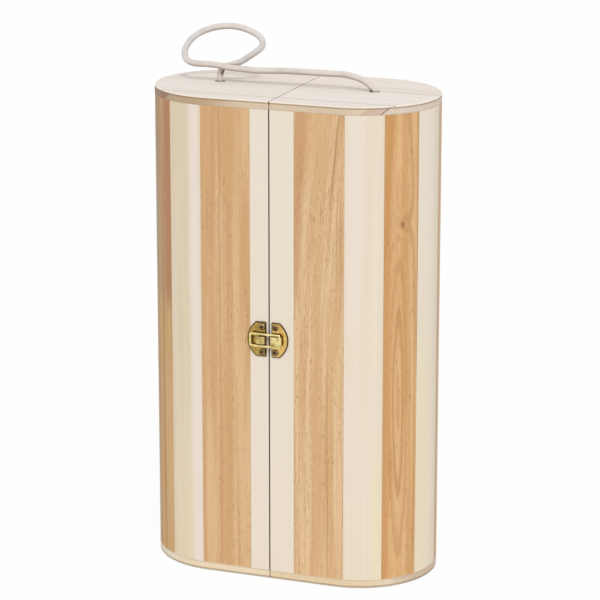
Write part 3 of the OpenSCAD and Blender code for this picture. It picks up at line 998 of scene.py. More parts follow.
@dataclass
class Block:
    """A flat-ended block on an outline, anticlockwise from above, with its edges rounded over.

    The lower and the upper edge get these shares of each point's ease.
    """

    outline: Sequence[EdgePoint]
    low: float
    high: float
    low_ease: float = 1.0
    high_ease: float = 1.0

    # The least turn that counts as a corner. A corner's curve reaches so many eases along its
    # sides, or that share of the shorter one, and its ease keeps that slack to the curve.
    sharp = math.radians(18)
    corner_reach = 1.7
    corner_share = 0.45
    corner_slack = 0.85
    corner_steps = 3
    edge_steps = 3
    least_cosine = 0.6

    def __post_init__(self) -> None:
        """Rounds the outline's corners, so that its rings can shrink without folding."""
        made: list[EdgePoint] = []
        outline = self.outline
        for i, (x, y, ease) in enumerate(outline):
            here = Vector((x, y))
            back = here - Vector(outline[i - 1][:2])
            on = Vector(outline[(i + 1) % len(outline)][:2]) - here
            turn = back.angle(on)
            if turn < self.sharp:
                made.append((x, y, ease))
                continue
            half = math.tan(turn / 2)
            longest = self.corner_share * min(back.length, on.length)
            reach = min(self.corner_reach * ease * half, longest)
            ease = min(ease, self.corner_slack * math.cos(turn / 2) * reach / half)
            first = here - back.normalized() * reach
            last = here + on.normalized() * reach
            for k in range(self.corner_steps + 1):
                t = k / self.corner_steps
                p = first * (1 - t) ** 2 + here * (2 * t * (1 - t)) + last * t**2
                made.append((p.x, p.y, ease))
        self.outline = made

    def _insets(self) -> list[Vector]:
        """Finds the way in from the outline.

        Returns:
            For each point, that way, as long as its ease.
        """
        found = []
        points = self.outline
        for i, (x, y, ease) in enumerate(points):
            here = Vector((x, y))
            back = (here - Vector(points[i - 1][:2])).normalized()
            on = (Vector(points[(i + 1) % len(points)][:2]) - here).normalized()
            inward = (Vector((-back.y, back.x)) + Vector((-on.y, on.x))).normalized()
            found.append(inward * (ease / max(self.least_cosine, math.cos(back.angle(on) / 2))))
        return found

    def build(self, name: str, place: Place, grain: Place = lambda x, y, z: (x, y, z)) -> Piece:
        """Makes the mesh.

        Args:
            name: The piece's name.
            place: Turns the block's own frame to the box's. It may mirror.
            grain: Gives a point's place in the board: across, deep and along the grain.

        Returns:
            The new object.
        """
        insets = self._insets()
        angles = [math.pi / 2 * k / self.edge_steps for k in range(self.edge_steps + 1)]
        rounds = [(self.low, 1.0, self.low_ease, a) for a in angles]
        rounds += [(self.high, -1.0, self.high_ease, a) for a in reversed(angles)]
        points: list[Point] = []
        wear: list[Point] = []
        for level, side, share, angle in rounds:
            for (x, y, ease), inward in zip(self.outline, insets):
                inset = inward * (share * (1 - math.sin(angle)))
                rise = side * ease * share * (1 - math.cos(angle))
                points.append((x + inset.x, y + inset.y, level + rise))
                wear.append((math.sin(2 * angle), 0.0, 0.0))
        faces = skin(len(rounds), len(self.outline))
        origin, x, y, z = (Vector(place(*p)) for p in ((0, 0, 0), (1, 0, 0), (0, 1, 0), (0, 0, 1)))
        if (x - origin).cross(y - origin).dot(z - origin) < 0:
            faces = [tuple(reversed(f)) for f in faces]
        vectors = {GRAIN: [grain(*p) for p in points], SHEEN_AND_WEAR: wear}
        return new_piece(name, [place(*p) for p in points], faces, vectors, even_normals=True)


@dataclass
class Tube:
    """A tube along a line of points: a rope, or a bar bent into a ring, which is closed.

    Its section is round where square is 2, and has flatter sides where it is more.
    """

    line: Sequence[Vector]
    radius: float
    sides: int = 18
    square: float = 2.0
    closed: bool = False

    def _reach(self, angle: float) -> float:
        """The section's radius at an angle."""
        n = self.square
        return self.radius / (abs(math.cos(angle)) ** n + abs(math.sin(angle)) ** n) ** (1 / n)

    def build(self, name: str, start: Point = (0.0, 1.0, 0.0)) -> Piece:
        """Makes the mesh, with its turn and its length kept for each point.

        Args:
            name: The piece's name.
            start: The side of the first ring from which its points are counted.

        Returns:
            The new object.
        """
        line = self.line
        n, count = self.sides, len(line)
        last = count - 1
        points: list[Vector] = []
        places: list[Point] = []
        wear: list[Point] = []
        side = Vector(start)
        length = 0.0
        for k, here in enumerate(line):
            after = line[(k + 1) % count] if self.closed else line[min(k + 1, last)]
            before = line[k - 1] if self.closed else line[max(k - 1, 0)]
            ahead = (after - before).normalized()
            side = (side - ahead * side.dot(ahead)).normalized()
            up = ahead.cross(side)
            length += (here - line[max(k - 1, 0)]).length
            for j in range(n):
                a = math.tau * j / n
                points.append(here + (side * math.cos(a) + up * math.sin(a)) * self._reach(a))
                places.append((min(j, n - j) / n, length, 0.0))
                wear.append((abs(math.sin(2 * a)), 0.0, 0.0))
        faces = skin(count, n, self.closed)
        return new_piece(name, points, faces, {CORD: places, SHEEN_AND_WEAR: wear})


def arc(middle: Pair, radius: float, start: float, end: float, steps: int) -> list[Pair]:
    """Points on a circle.

    Args:
        middle: The circle's middle.
        radius: Its radius.
        start: The first point's angle in degrees.
        end: The last point's angle.
        steps: How many steps lie between them.

    Returns:
        The points.
    """
    angles = [math.radians(start + (end - start) * k / steps) for k in range(steps + 1)]
    return [(middle[0] + radius * math.cos(a), middle[1] + radius * math.sin(a)) for a in angles]


def bent_sheet(line: Sequence[Pair], thick: float, ease: float, height: float) -> Block:
    """Bends a strip of sheet.

    Args:
        line: The middle of the sheet seen from its edge.
        thick: The sheet's thickness.
        ease: How far its edges are rounded over.
        height: How wide the strip is.

    Returns:
        Its shape, about the middle of its width.
    """
    ahead: list[EdgePoint] = []
    back: list[EdgePoint] = []
    for k, (x, y) in enumerate(line):
        step = Vector(line[min(k + 1, len(line) - 1)]) - Vector(line[max(k - 1, 0)])
        off = Vector((-step.y, step.x)).normalized() * (thick / 2)
        ahead.append((x - off.x, y - off.y, ease))
        back.append((x + off.x, y + off.y, ease))
    return Block(ahead + back[::-1], -height / 2, height / 2)


@dataclass
class BoxPlan:
    """The box seen from above, from which the staves and the boards take their shape."""

    width: float = 204 * MM
    depth: float = 110 * MM
    height: float = 340 * MM
    wall: float = 8 * MM
    top_board: float = 5.8 * MM
    bottom_board: float = 6 * MM
    seam_gap: float = 0.6 * MM
    seam_staves: Mapping[Half, float] = field(
        default_factory=lambda: {Half.LEFT: 14 * MM, Half.RIGHT: 18 * MM}
    )
    wide_stave: float = 36 * MM
    narrow_stave: float = 27.2 * MM
    narrow_count: int = 3
    even_count: int = 5
    curve_step: float = 1.5 * MM

    @property
    def end_radius(self) -> float:
        """Radius of the half-round ends."""
        return self.depth / 2

    @property
    def flat(self) -> float:
        """Straight length from the seam to a round end."""
        return self.width / 2 - self.end_radius

    @property
    def arc(self) -> float:
        """Length of a round end."""
        return math.pi * self.end_radius

    @property
    def around(self) -> float:
        """Length of a half's outline, seam to seam."""
        return 2 * self.flat + self.arc

    def rim(self, run: float, out: float) -> Pair:
        """A point by the outline of the right half.

        Args:
            run: Distance along the outline from the front of the seam.
            out: Distance outside the outline.

        Returns:
            Its x and y.
        """
        r = self.end_radius
        if run <= self.flat:
            return run, -r - out
        if run <= self.flat + self.arc:
            a = (run - self.flat) / r
            return self.flat + (r + out) * math.sin(a), -(r + out) * math.cos(a)
        return self.around - run, r + out

    def unroll(self, x: float, y: float) -> Pair:
        """The inverse of rim.

        Args:
            x: Distance from the seam.
            y: Distance behind the middle.

        Returns:
            The distance along the outline, and how deep inside it the point lies.
        """
        r = self.end_radius
        if x <= self.flat:
            return (x, y + r) if y < 0 else (self.around - x, r - y)
        a = math.atan2(x - self.flat, -y)
        return self.flat + a * r, r - math.hypot(x - self.flat, y)

    def stave_edges(self, half: Half) -> list[float]:
        """Where a half's staves begin and end along the outline.

        Args:
            half: The half.

        Returns:
            One number more than there are staves.
        """
        seam = self.seam_staves[half]
        edges = [self.seam_gap / 2, seam, seam + self.wide_stave]
        edges += [edges[-1] + self.narrow_stave * (i + 1) for i in range(self.narrow_count)]
        start, end = edges[-1], self.around - self.seam_gap / 2
        share = (end - start) / self.even_count
        return edges + [start + share * (i + 1) for i in range(self.even_count)]

    def samples(self, start: float, end: float) -> list[float]:
        """Distances along the outline, close together on the curve.

        Args:
            start: The first.
            end: The last.

        Returns:
            The distances.
        """
        marks = [start, end]
        marks += [m for m in (self.flat, self.flat + self.arc) if start < m < end]
        count = int(self.arc / self.curve_step)
        near = self.curve_step / 2
        curve = [self.flat + self.arc * k / count for k in range(1, count)]
        return sorted(marks + [m for m in curve if start + near < m < end - near])


@dataclass
class StaveWall:
    """The upright staves of both halves."""

    plan: BoxPlan
    ease: float = 0.14 * MM
    seam_ease: float = 0.2 * MM
    light: WoodFinish = LIGHT_WOOD
    dark: WoodFinish = DARK_WOOD
    cuts: Mapping[tuple[Half, int], Cut] = field(default_factory=lambda: FRONT_CUTS)

    def cut(self, half: Half, number: int) -> Cut:
        """How a stave was cut: one of those that are set, or one that follows its number.

        Args:
            half: The stave's half.
            number: Its number, from 1 at the front seam.

        Returns:
            The cut.
        """
        slab = number % 4 == 2
        default = Cut(
            seed=5.1 + 2.37 * number + 11.9 * (half is Half.LEFT),
            heart=(4.0, 9.0) if slab else (70.0 - 25.0 * (number % 6), 18.0),
            lean=(0.0, -0.05 if slab else 0.0),
            pitch=2.4 + 0.3 * (number % 4),
            rings=1.3 if slab else 0.8,
        )
        return self.cuts.get((half, number), default)

    def build(self) -> None:
        """Makes every stave."""
        for half in Half:
            edges = self.plan.stave_edges(half)
            for number, (start, end) in enumerate(zip(edges, edges[1:]), 1):
                self._stave(half, number, start, end, len(edges) - 1)

    def _stave(self, half: Half, number: int, start: float, end: float, last: int) -> None:
        """Makes one stave.

        Args:
            half: Its half.
            number: Its number.
            start: Where it begins along the outline.
            end: Where it ends.
            last: The number of the half's last stave.
        """
        plan = self.plan
        runs = plan.samples(start, end)
        first_ease = self.seam_ease if number == 1 else self.ease
        last_ease = self.seam_ease if number == last else self.ease
        eases = [first_ease] + [self.ease] * (len(runs) - 2) + [last_ease]
        outer = [(*plan.rim(s, 0.0), e) for s, e in zip(runs, eases)]
        inner = [(*plan.rim(s, -plan.wall), self.ease) for s in reversed(runs)]
        middle = (start + end) / 2

        def grain(x: float, y: float, z: float) -> Point:
            """A point's place in the stave."""
            run, deep = plan.unroll(x, y)
            return run - middle, deep, z

        node = f"{half.label}_stave_{number:02d}"
        block = Block(outer + inner, plan.bottom_board, plan.height - plan.top_board)
        piece = block.build(f"wood_{node}", half.place, grain)
        slot = Slot.LIGHT if number % 2 else Slot.DARK
        wood = self.light if number % 2 else self.dark
        material = wood.material(piece.name, self.cut(half, number))
        finish_piece(piece, material, half.body, node, slot)


@dataclass
class EndBoards:
    """The top and the bottom, each of three strips a half, glued edge to edge."""

    plan: BoxPlan
    front_strip: float = 14.5 * MM
    middle_strip: float = 45 * MM
    rope_hole: float = 7.6 * MM
    hole_y: float = 4.4 * MM
    holes: Mapping[Half, float] = field(
        default_factory=lambda: {Half.LEFT: 59 * MM, Half.RIGHT: 55 * MM}
    )
    arris: float = 0.9 * MM
    inner_edge: float = 0.17
    joint_ease: float = 0.07 * MM
    seam_ease: float = 0.22 * MM
    hole_ease: float = 0.3 * MM
    seam_end: float = 1.2 * MM
    hole_steps: int = 18
    joint_line: float = 1.0
    wood: BoardFinish = BOARD_WOOD
    names: tuple[str, ...] = ("front", "middle", "back")
    # The bottom is paler than the top, whose back strips are a little darker
    tints: Mapping[str, RGB] = field(
        default_factory=lambda: {
            "left_bottom": (1.19, 1.26, 1.25),
            "right_bottom": (1.13, 1.14, 1.05),
            "left_top_back": (0.97, 0.955, 0.95),
            "right_top_back": (0.97, 0.955, 0.95),
        }
    )
    rim_marks: Mapping[str, tuple[Mark, ...]] = field(default_factory=lambda: RIM_BANDS)

    def build(self) -> None:
        """Makes all twelve strips."""
        for half in Half:
            for index in range(len(self.names)):
                self._strip(half, "top", index, self.holes[half])
                self._strip(half, "bottom", index, None)

    def _edges(self) -> list[float]:
        """The strips' edges, front to back."""
        r = self.plan.end_radius
        return [-r, self.front_strip - r, self.front_strip + self.middle_strip - r, r]

    def _notch(self, y: float, hole_x: float, forward: bool) -> list[EdgePoint]:
        """The part of a rope hole that a strip's straight edge crosses.

        Args:
            y: The edge.
            hole_x: The hole's distance from the seam.
            forward: True on the front edge of a strip, which runs out from the seam.

        Returns:
            Its points, in the order of the outline, or none where the hole is elsewhere.
        """
        r = self.rope_hole / 2
        rise = y - self.hole_y
        if abs(rise) >= r:
            return []
        half_width = math.sqrt(r * r - rise * rise) * (1 if forward else -1)
        start = math.degrees(math.atan2(rise, -half_width))
        end = math.degrees(math.atan2(rise, half_width))
        if end > start:
            end -= 360
        hole = arc((hole_x, self.hole_y), r, start, end, self.hole_steps)
        return [(x, y, self.hole_ease) for x, y in hole]

    def _outline(self, index: int, hole_x: Optional[float]) -> list[EdgePoint]:
        """A strip of the right half seen from above.

        Args:
            index: 0 for the front strip.
            hole_x: The rope hole's distance from the seam, or None.

        Returns:
            Its outline, anticlockwise.
        """
        plan = self.plan
        r = plan.end_radius
        low, high = self._edges()[index : index + 2]
        seam = plan.seam_gap / 2
        front, back = index == 0, index == len(self.names) - 1
        near = seam + self.seam_end
        points = [(seam, low, self.seam_ease if front else self.joint_ease)]
        points += [(near, low, self.arris)] * front
        if hole_x and not front:
            points += self._notch(low, hole_x, True)
        start = plan.flat + r * math.acos(max(-1.0, -low / r))
        end = plan.flat + r * math.acos(max(-1.0, -high / r))
        runs = plan.samples(start, end)
        ends = [self.arris if front else self.joint_ease, self.arris if back else self.joint_ease]
        eases = [ends[0]] + [self.arris] * (len(runs) - 2) + [ends[1]]
        points += [(*plan.rim(s, 0.0), e) for s, e in zip(runs, eases)]
        if hole_x and not back:
            points += self._notch(high, hole_x, False)
        points += [(near, high, self.arris)] * back
        points.append((seam, high, self.seam_ease if back else self.joint_ease))
        return points

    def _cut(self, node: str, index: int, number: int) -> Cut:
        """How a strip was cut, with the glue lines along its edges.

        Args:
            node: The strip's node.
            index: 0 for a front strip.
            number: Its number among all strips.

        Returns:
            The cut.
        """
        edges = self._edges()
        side = (edges[index + 1] - edges[index]) / 2 / MM
        sides = [-side] * (index > 0) + [side] * (index < len(self.names) - 1)
        lines = tuple(
            Streak(JOINT, 0.6, self.joint_line, (s, s), (-140.0, 140.0), 0.0, deepest=0.6)
            for s in sides
        )
        return Cut(
            seed=31.0 + 3.7 * number,
            heart=(26.0 - 21.0 * (number % 4), 30.0 + 7.0 * (number % 3)),
            pitch=4.2,
            wander=2.4,
            tint=next((t for name, t in self.tints.items() if node.startswith(name)), WHITE),
            marks=lines + self.rim_marks.get(node, ()),
        )

    def _strip(self, half: Half, board: str, index: int, hole: Optional[float]) -> None:
        """Makes one strip.

        Args:
            half: Its half.
            board: "top" or "bottom".
            index: 0 for the front strip.
            hole: The rope hole's distance from the seam, or None.
        """
        plan = self.plan
        top = board == "top"
        low = plan.height - plan.top_board if top else 0.0
        high = plan.height if top else plan.bottom_board
        edges = self._edges()
        middle = (edges[index] + edges[index + 1]) / 2

        def grain(x: float, y: float, z: float) -> Point:
            """A point's place in the strip, below its outer face."""
            return y - middle, high - z if top else z - low, x * half.value

        node = f"{half.label}_{board}_{self.names[index]}"
        shares = (self.inner_edge, 1.0) if top else (1.0, self.inner_edge)
        block = Block(self._outline(index, hole), low, high, *shares)
        piece = block.build(f"wood_{node}", half.place, grain)
        number = index + 3 * (not top) + 6 * (half is Half.LEFT)
        material = self.wood.material(piece.name, self._cut(node, index, number))
        finish_piece(piece, material, half.body, node, Slot.BOARD)


@dataclass
class NeckBoards:
    """A board across each half, with a slot for a bottle's neck."""

    plan: BoxPlan
    thick: float = 6 * MM
    lift: float = 228 * MM
    slot: float = 34 * MM
    neck_x: float = 46 * MM
    gap: float = 0.2 * MM
    ease: float = 0.4 * MM
    neck_steps: int = 28
    # Nothing of the boards lies within the painted joint shade of the outside
    deep: float = 5 * MM
    wood: WoodFinish = INNER_WOOD

    def build(self) -> None:
        """Makes both boards."""
        plan = self.plan
        low = plan.bottom_board + self.lift
        high = low + self.thick
        for half in Half:
            node = f"{half.label}_neck_board"
            block = Block(self._outline(), low, high)
            # Its grain runs across it
            piece = block.build(
                f"wood_{node}", half.place, lambda x, y, z: (y, high - z + self.deep, x)
            )
            cut = Cut(seed=71.0 + 5.0 * half.value, heart=(12.0, 40.0), pitch=3.6)
            finish_piece(piece, self.wood.material(piece.name, cut), half.body, node, Slot.INNER)

    def _outline(self) -> list[EdgePoint]:
        """The right board seen from above, anticlockwise.

        Returns:
            Its outline.
        """
        plan = self.plan
        seam = plan.seam_gap / 2
        runs = plan.samples(seam, plan.around - seam)
        r = self.slot / 2
        line = [plan.rim(s, -plan.wall - self.gap) for s in runs]
        line += [(seam, r), *arc((self.neck_x, 0.0), r, 90, -90, self.neck_steps), (seam, -r)]
        return [(x, y, self.ease) for x, y in line]


@dataclass
class RopeHandle:
    """The rope, which stands in a loop above the top, and its two stopper knots."""

    plan: BoxPlan
    boards: EndBoards
    thick: float = 4.4 * MM
    knot_thick: float = 4.3 * MM
    cuts: int = 6
    # A knot: where it starts and how far it runs round in degrees, its lobes for each turn, its
    # core and flatness as shares of its size, and the room left beside, above and below it
    knot_start: float = 20.0
    knot_sweep: float = 660.0
    knot_lobes: float = 1.5
    knot_core: float = 0.22
    knot_flat: float = 0.92
    knot_steps: int = 120
    knot_room: tuple[float, float, float] = (0.1 * MM, 0.2 * MM, 0.3 * MM)
    bend_from: float = -27 * MM
    bend_to: float = 50 * MM
    finish: RopeFinish = RopeFinish(
        crook=14.5 * MM, washed=((24 * MM, 58 * MM), (98 * MM, 128 * MM))
    )
    # Above the top, from the left hole to the right one, in millimetres
    route: tuple[Point, ...] = (
        (-59, 4.8, 5), (-57, 5.6, 9.5), (-51.5, 6.4, 11.5), (-45.5, 7, 13.5), (-40.5, 7.2, 16.5),
        (-34, 7.2, 21), (-29, 6.8, 25), (-28, 6.2, 29.5), (-31.5, 5.5, 34), (-39.5, 4.9, 37.5),
        (-47, 4.4, 39), (-54, 4, 39), (-63, 3.4, 37.5), (-72, 2.6, 34), (-79, 1.8, 29),
        (-83.5, 1.1, 22.5), (-84, 0.7, 17), (-81.5, 0.5, 13.5), (-76, 0.4, 12), (-66.5, 0.4, 12),
        (-58, 0.6, 11.5), (-51, 0.8, 10.5), (-42, 1.2, 10), (-31, 1.8, 9.5), (-20, 2.2, 10),
        (-9, 2.5, 10.5), (2, 2.8, 10.5), (13, 3.1, 10.5), (24, 3.4, 10.5), (32, 3.6, 10.5),
        (39, 3.9, 9.5), (46, 4.1, 7.5), (51.5, 4.3, 4),
    )  # fmt: skip

    def _line(self) -> list[Vector]:
        """The rope's middle, knot to knot, on a smooth curve through the route.

        Returns:
            Its points.
        """
        top = self.plan.height
        board = self.plan.top_board
        left, right = -self.boards.holes[Half.LEFT], self.boards.holes[Half.RIGHT]
        y = self.boards.hole_y
        marks = [Vector((left, y, top - board)), Vector((left, y, top))]
        marks += [Vector((p[0] * MM, p[1] * MM, top + p[2] * MM)) for p in self.route]
        marks += [Vector((right, y, top)), Vector((right, y, top - board))]
        line = [marks[0]]
        for i in range(1, len(marks) - 2):
            p, q, r, s = marks[i - 1 : i + 3]
            for k in range(self.cuts):
                t = k / self.cuts
                cubic = (q * 3 - p - r * 3 + s) * t**3
                square = (p * 2 - q * 5 + r * 4 - s) * t**2
                line.append((q * 2 + (r - p) * t + square + cubic) / 2)
        return line + marks[-2:]

    def build(self) -> None:
        """Makes the rope and its knots, and logs the rope's length."""
        material = self.finish.material("braided_rope")
        plain = replace(self.finish, crook=0.0, washed=()).material("knotted_rope")
        knots = [self._knot(half, plain) for half in Half]
        line = self._line()
        piece = Tube(line, self.thick / 2, 20).build("rope")
        piece.data.materials.append(material)
        Half.LEFT.body
        Half.RIGHT.body
        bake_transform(piece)
        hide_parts("handle_rope")
        length = sum((b - a).length for a, b in zip(line, line[1:]))
        tuple(line[1])
        [tuple(p) for p in line]
        log.info("rope: %.0f mm long", length / MM)

    def _knot(self, half: Half, material: Material) -> Piece:
        """Makes an overhand knot under the top board, pulled tight.

        Args:
            half: The half whose hole it stops.
            material: The rope's material.

        Returns:
            The knot.
        """
        node = f"{half.label}_rope_knot"
        low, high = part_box(node)
        middle = (low + high) / 2
        radius = self.knot_thick / 2
        side, above, below = self.knot_room
        swing = (high.x - low.x) / 2 - radius - side
        rise = (high.z - low.z) / 2 - radius - below
        inner = swing * self.knot_core
        mean, wave = (swing + inner) / 2, (swing - inner) / 2
        line = [Vector((middle.x, middle.y, high.z - above))]
        for k in range(self.knot_steps + 1):
            a = math.radians(self.knot_start + self.knot_sweep * k / self.knot_steps)
            out = mean + wave * math.cos(self.knot_lobes * a)
            x = middle.x + out * math.cos(a) * half.value
            z = middle.z - below - rise * math.sin(self.knot_lobes * a) * self.knot_flat
            line.append(Vector((x, middle.y + out * math.sin(a), z)))
        piece = Tube(line, radius).build(f"knot_{half.label}")
        return finish_piece(piece, material, half.body, node, Slot.ROPE)


@dataclass
class Screw:
    """The domed head of a screw, with a cross slot."""

    head: float
    height: float
    slot: float = 0.6 * MM
    slot_depth: float = 0.6 * MM
    slot_reach: float = 0.72
    dome: float = 2.4

    def _ring(self, out: float, slotted: bool) -> list[tuple[float, float, bool]]:
        """Points round the head at one distance from its middle.

        Args:
            out: The distance.
            slotted: True where the slot crosses the ring.

        Returns:
            For each point its x and y, and whether it lies at the slot's bottom.
        """
        half = math.asin(min(1.0, self.slot / 2 / out))
        rest = (math.pi / 2 - 2 * half) / 4
        turns = [(-half, True), (0.0, True), (half, True)]
        turns += [(half + rest * k, False) for k in range(5)]
        if not slotted:
            turns = [(math.pi / 16 * (k - 1), False) for k in range(8)]
        found = []
        for quarter in range(4):
            for turn, low in turns:
                a = math.pi / 2 * quarter + turn
                found.append((out * math.cos(a), out * math.sin(a), low))
        return found

    def build(self, name: str, places: Sequence[Place]) -> Piece:
        """Makes a piece of several heads.

        Args:
            name: The piece's name.
            places: For each head, what turns its own frame to the box's.

        Returns:
            The new object.
        """
        points: list[Point] = []
        faces: Faces = []
        wear: list[Point] = []
        r = self.head / 2
        grip = r * self.slot_reach
        floor = self.height - self.slot_depth
        near = self.slot * 0.75
        slotted = [near, (near + grip) / 2, grip]
        rings = [*slotted, grip * 1.02, r * 0.86, r * 0.94, r * 0.985, r]
        for place in places:
            first = len(points) + 1
            points.append(place(0.0, 0.0, floor))
            wear.append((0.0, 1.0, 0.0))
            for out in rings:
                up = self.height * math.sqrt(max(0.0, 1 - (out / r) ** self.dome))
                for x, y, low in self._ring(out, out in slotted):
                    points.append(place(x, y, floor if low else up))
                    wear.append((0.0 if low else min(1.0, out / r), float(low), 0.0))
            sides = (len(points) - first) // len(rings)
            for j in range(sides):
                m = (j + 1) % sides
                faces.append((first - 1, first + j, first + m))
                for a in range(first, len(points) - sides, sides):
                    faces.append((a + j, a + sides + j, a + sides + m, a + m))
            faces.append(tuple(range(len(points) - 1, len(points) - sides - 1, -1)))
        return new_piece(name, points, faces, {SHEEN_AND_WEAR: wear})


def turned(degrees: float, place: Place) -> Place:
    """Turns what a place puts down about its own upright.

    Args:
        degrees: How far.
        place: The place.

    Returns:
        The turned place.
    """
    cos, sin = math.cos(math.radians(degrees)), math.sin(math.radians(degrees))
    return lambda u, v, up: place(u * cos - v * sin, u * sin + v * cos, up)


@dataclass
class Latch:
    """The round brass latch: a plate with a hook, a plate with a ring, and their screws."""

    plan: BoxPlan
    lift: float = 174 * MM
    plate_radius: float = 14.9 * MM
    plate_shift: float = 0.8 * MM
    plate_thick: float = 0.9 * MM
    plate_gap: float = 4 * MM
    plate_ease: float = 0.5 * MM
    lug_height: float = 24.6 * MM
    lug_width: float = 18.4 * MM
    lug_corner: float = 0.8 * MM
    out: float = 4.8 * MM
    sheet: float = 0.75 * MM
    sheet_ease: float = 0.2 * MM
    turn: float = 0.7 * MM
    hook_height: float = 5 * MM
    hook_tip: float = 8.6 * MM
    hook_lip: float = 1.5 * MM
    hook_foot: float = 2.4 * MM
    pin: Pair = (8.7 * MM, 3.2 * MM)
    roll_height: float = 6.4 * MM
    ring_height: float = 9.9 * MM
    ring_end: float = -13.4 * MM
    ring_turn: float = 1.1 * MM
    bar: float = 1.5 * MM
    screw_x: float = 4.9 * MM
    screw_pitch: float = 17.6 * MM
    # Degrees that the screws are turned by, on one half and at one end
    screw_turns: Pair = (17.0, 31.0)
    plate_steps: int = 36
    hook_steps: int = 20
    turn_steps: int = 6
    roll_steps: int = 32
    roll_end: float = -165.0
    ring_step: float = 1.2 * MM
    screw: Screw = field(default_factory=lambda: Screw(4.8 * MM, 1.3 * MM))

    def _on_face(self, x: float, y: float, z: float) -> Point:
        """Turns the latch's own frame, across, up and out, to the box's."""
        return x, -self.plan.end_radius - z, self.lift + y

    def _on_left_face(self, x: float, y: float, z: float) -> Point:
        """The same, mirrored to the left of the seam."""
        return self._on_face(-x, y, z)

    def build(self) -> None:
        """Makes the catch, the plate, the ring and the screws."""
        catch = CATCH_BRASS.material("catch_brass")
        warm = PLATE_BRASS.material("plate_brass")
        worn = WORN_AND_LIT_BRASS.material("worn_brass")
        bright = HOOK_BRASS.material("hook_brass")
        screw = SCREW_BRASS.material("screw_brass")
        left, right = Half.LEFT, Half.RIGHT
        shift = self.plate_shift
        hook, roll = self._hook_line(), self._roll_line()
        made = (
            (self._plate(shift).build("catch_plate", self._on_left_face), catch, left),
            (self._bent(hook, self.hook_height, "catch_hook", left), bright, left),
            (self._plate(-shift).build("ring_plate", self._on_face), warm, right),
            (self._bent(roll, self.roll_height, "ring_roll", right), worn, right),
        )
        for piece, material, half in made:
            node = "latch_catch" if half is left else "latch_plate"
            finish_piece(piece, material, half.body, node, Slot.BRASS)
        finish_piece(self._ring(), worn, "latch_hasp", "latch_ring", Slot.BRASS)
        for half, node in ((left, "catch_screws"), (right, "plate_screws")):
            finish_piece(self._screws(half, f"{node}_heads"), screw, half.body, node, Slot.BRASS)

    def _plate(self, shift: float) -> Block:
        """A half-round plate with two square screw lugs, on the right of the seam.

        Args:
            shift: How far its circle's middle lies to the right of the seam.

        Returns:
            Its shape.
        """
        r, top, corner = self.plate_radius, self.lug_height / 2, self.lug_corner
        near, far = self.plate_gap / 2, shift + self.lug_width / 2
        meet = math.degrees(math.asin((top - corner) / r))
        edge, seam_side = self.plate_ease, self.plate_ease * 0.5
        line = [(near, -top, seam_side), (far - corner * 0.4, -top, edge)]
        line += [(x, y, edge) for x, y in arc((shift, 0.0), r, -meet, meet, self.plate_steps)]
        line += [(far - corner * 0.4, top, edge), (near, top, seam_side)]
        return Block(line, 0.0, self.plate_thick, low_ease=0.1)

    def _bent(self, line: Sequence[Pair], height: float, name: str, half: Half) -> Piece:
        """Makes a bent strip, which is as wide as height, on one half's front."""
        block = bent_sheet(line, self.sheet, self.sheet_ease, height)
        return block.build(name, lambda x, y, z: self._on_face(half.value * x, -z, y))

    def _hook_line(self) -> list[Pair]:
        """The hook's section: foot, bend by the seam, tongue and lip.

        Returns:
            The middle of its sheet.
        """
        radius = (self.out - self.plate_thick - self.sheet) / 2
        x, y = self.plate_gap / 2 + radius, self.plate_thick + self.sheet / 2 + radius
        tip = self.hook_tip - self.sheet / 2
        bend = arc((x, y), radius, 270, 90, self.hook_steps)
        inner = (tip - self.turn, y + radius - self.turn)
        end = arc(inner, self.turn, 90, 0, self.turn_steps)
        return [(x + self.hook_foot, y - radius), *bend, *end, (tip, self.out - self.hook_lip)]

    def _roll_line(self) -> list[Pair]:
        """The section of the plate's tongue, which rolls round the ring's pin.

        Returns:
            The middle of its sheet.
        """
        x = self.plate_gap / 2 + self.sheet / 2
        top = self.out - self.sheet / 2
        bend = arc((x + self.turn, top - self.turn), self.turn, 180, 90, self.turn_steps)
        roll = arc(self.pin, top - self.pin[1], 90, self.roll_end, self.roll_steps)
        return [(x, self.plate_thick / 2), *bend, *roll]

    def _ring(self) -> Piece:
        """Makes the ring, a bar bent to a rectangle, whose right side is its pin.

        Returns:
            The new object.
        """
        half_bar, turn = self.bar / 2, self.ring_turn
        left, right = self.ring_end + half_bar, self.pin[0]
        side = self.ring_height / 2 - half_bar
        loop: list[Pair] = []
        corners = ((right, side, 0), (left, side, 90), (left, -side, 180), (right, -side, 270))
        for x, y, start in corners:
            inner = (x - math.copysign(turn, x), y - math.copysign(turn, y))
            loop += arc(inner, turn, start, start + 90, self.turn_steps)
        line = []
        for (x, y), (on_x, on_y) in zip(loop, loop[1:] + loop[:1]):
            steps = max(1, round(math.hypot(on_x - x, on_y - y) / self.ring_step))
            for k in range(steps):
                t = k / steps
                here = self._on_face(x + (on_x - x) * t, y + (on_y - y) * t, self.pin[1])
                line.append(Vector(here))
        tube = Tube(line, half_bar, 16, square=3.2, closed=True)
        return tube.build("latch_bar_ring", (0.0, -1.0, 0.0))

    def _screws(self, half: Half, name: str) -> Piece:
        """Makes a plate's two screws.

        Args:
            half: The half that the plate is on.
            name: What the piece is called.

        Returns:
            The new object.
        """
        by_half, by_end = self.screw_turns
        x, top = half.value * self.screw_x, self.plate_thick
        places = []
        for end in (-1, 1):
            y = end * self.screw_pitch / 2
            turn = by_half * half.value + by_end * end
            places.append(turned(turn, lambda u, v, up, y=y: self._on_face(x + u, y + v, top + up)))
        return self.screw.build(name, places)


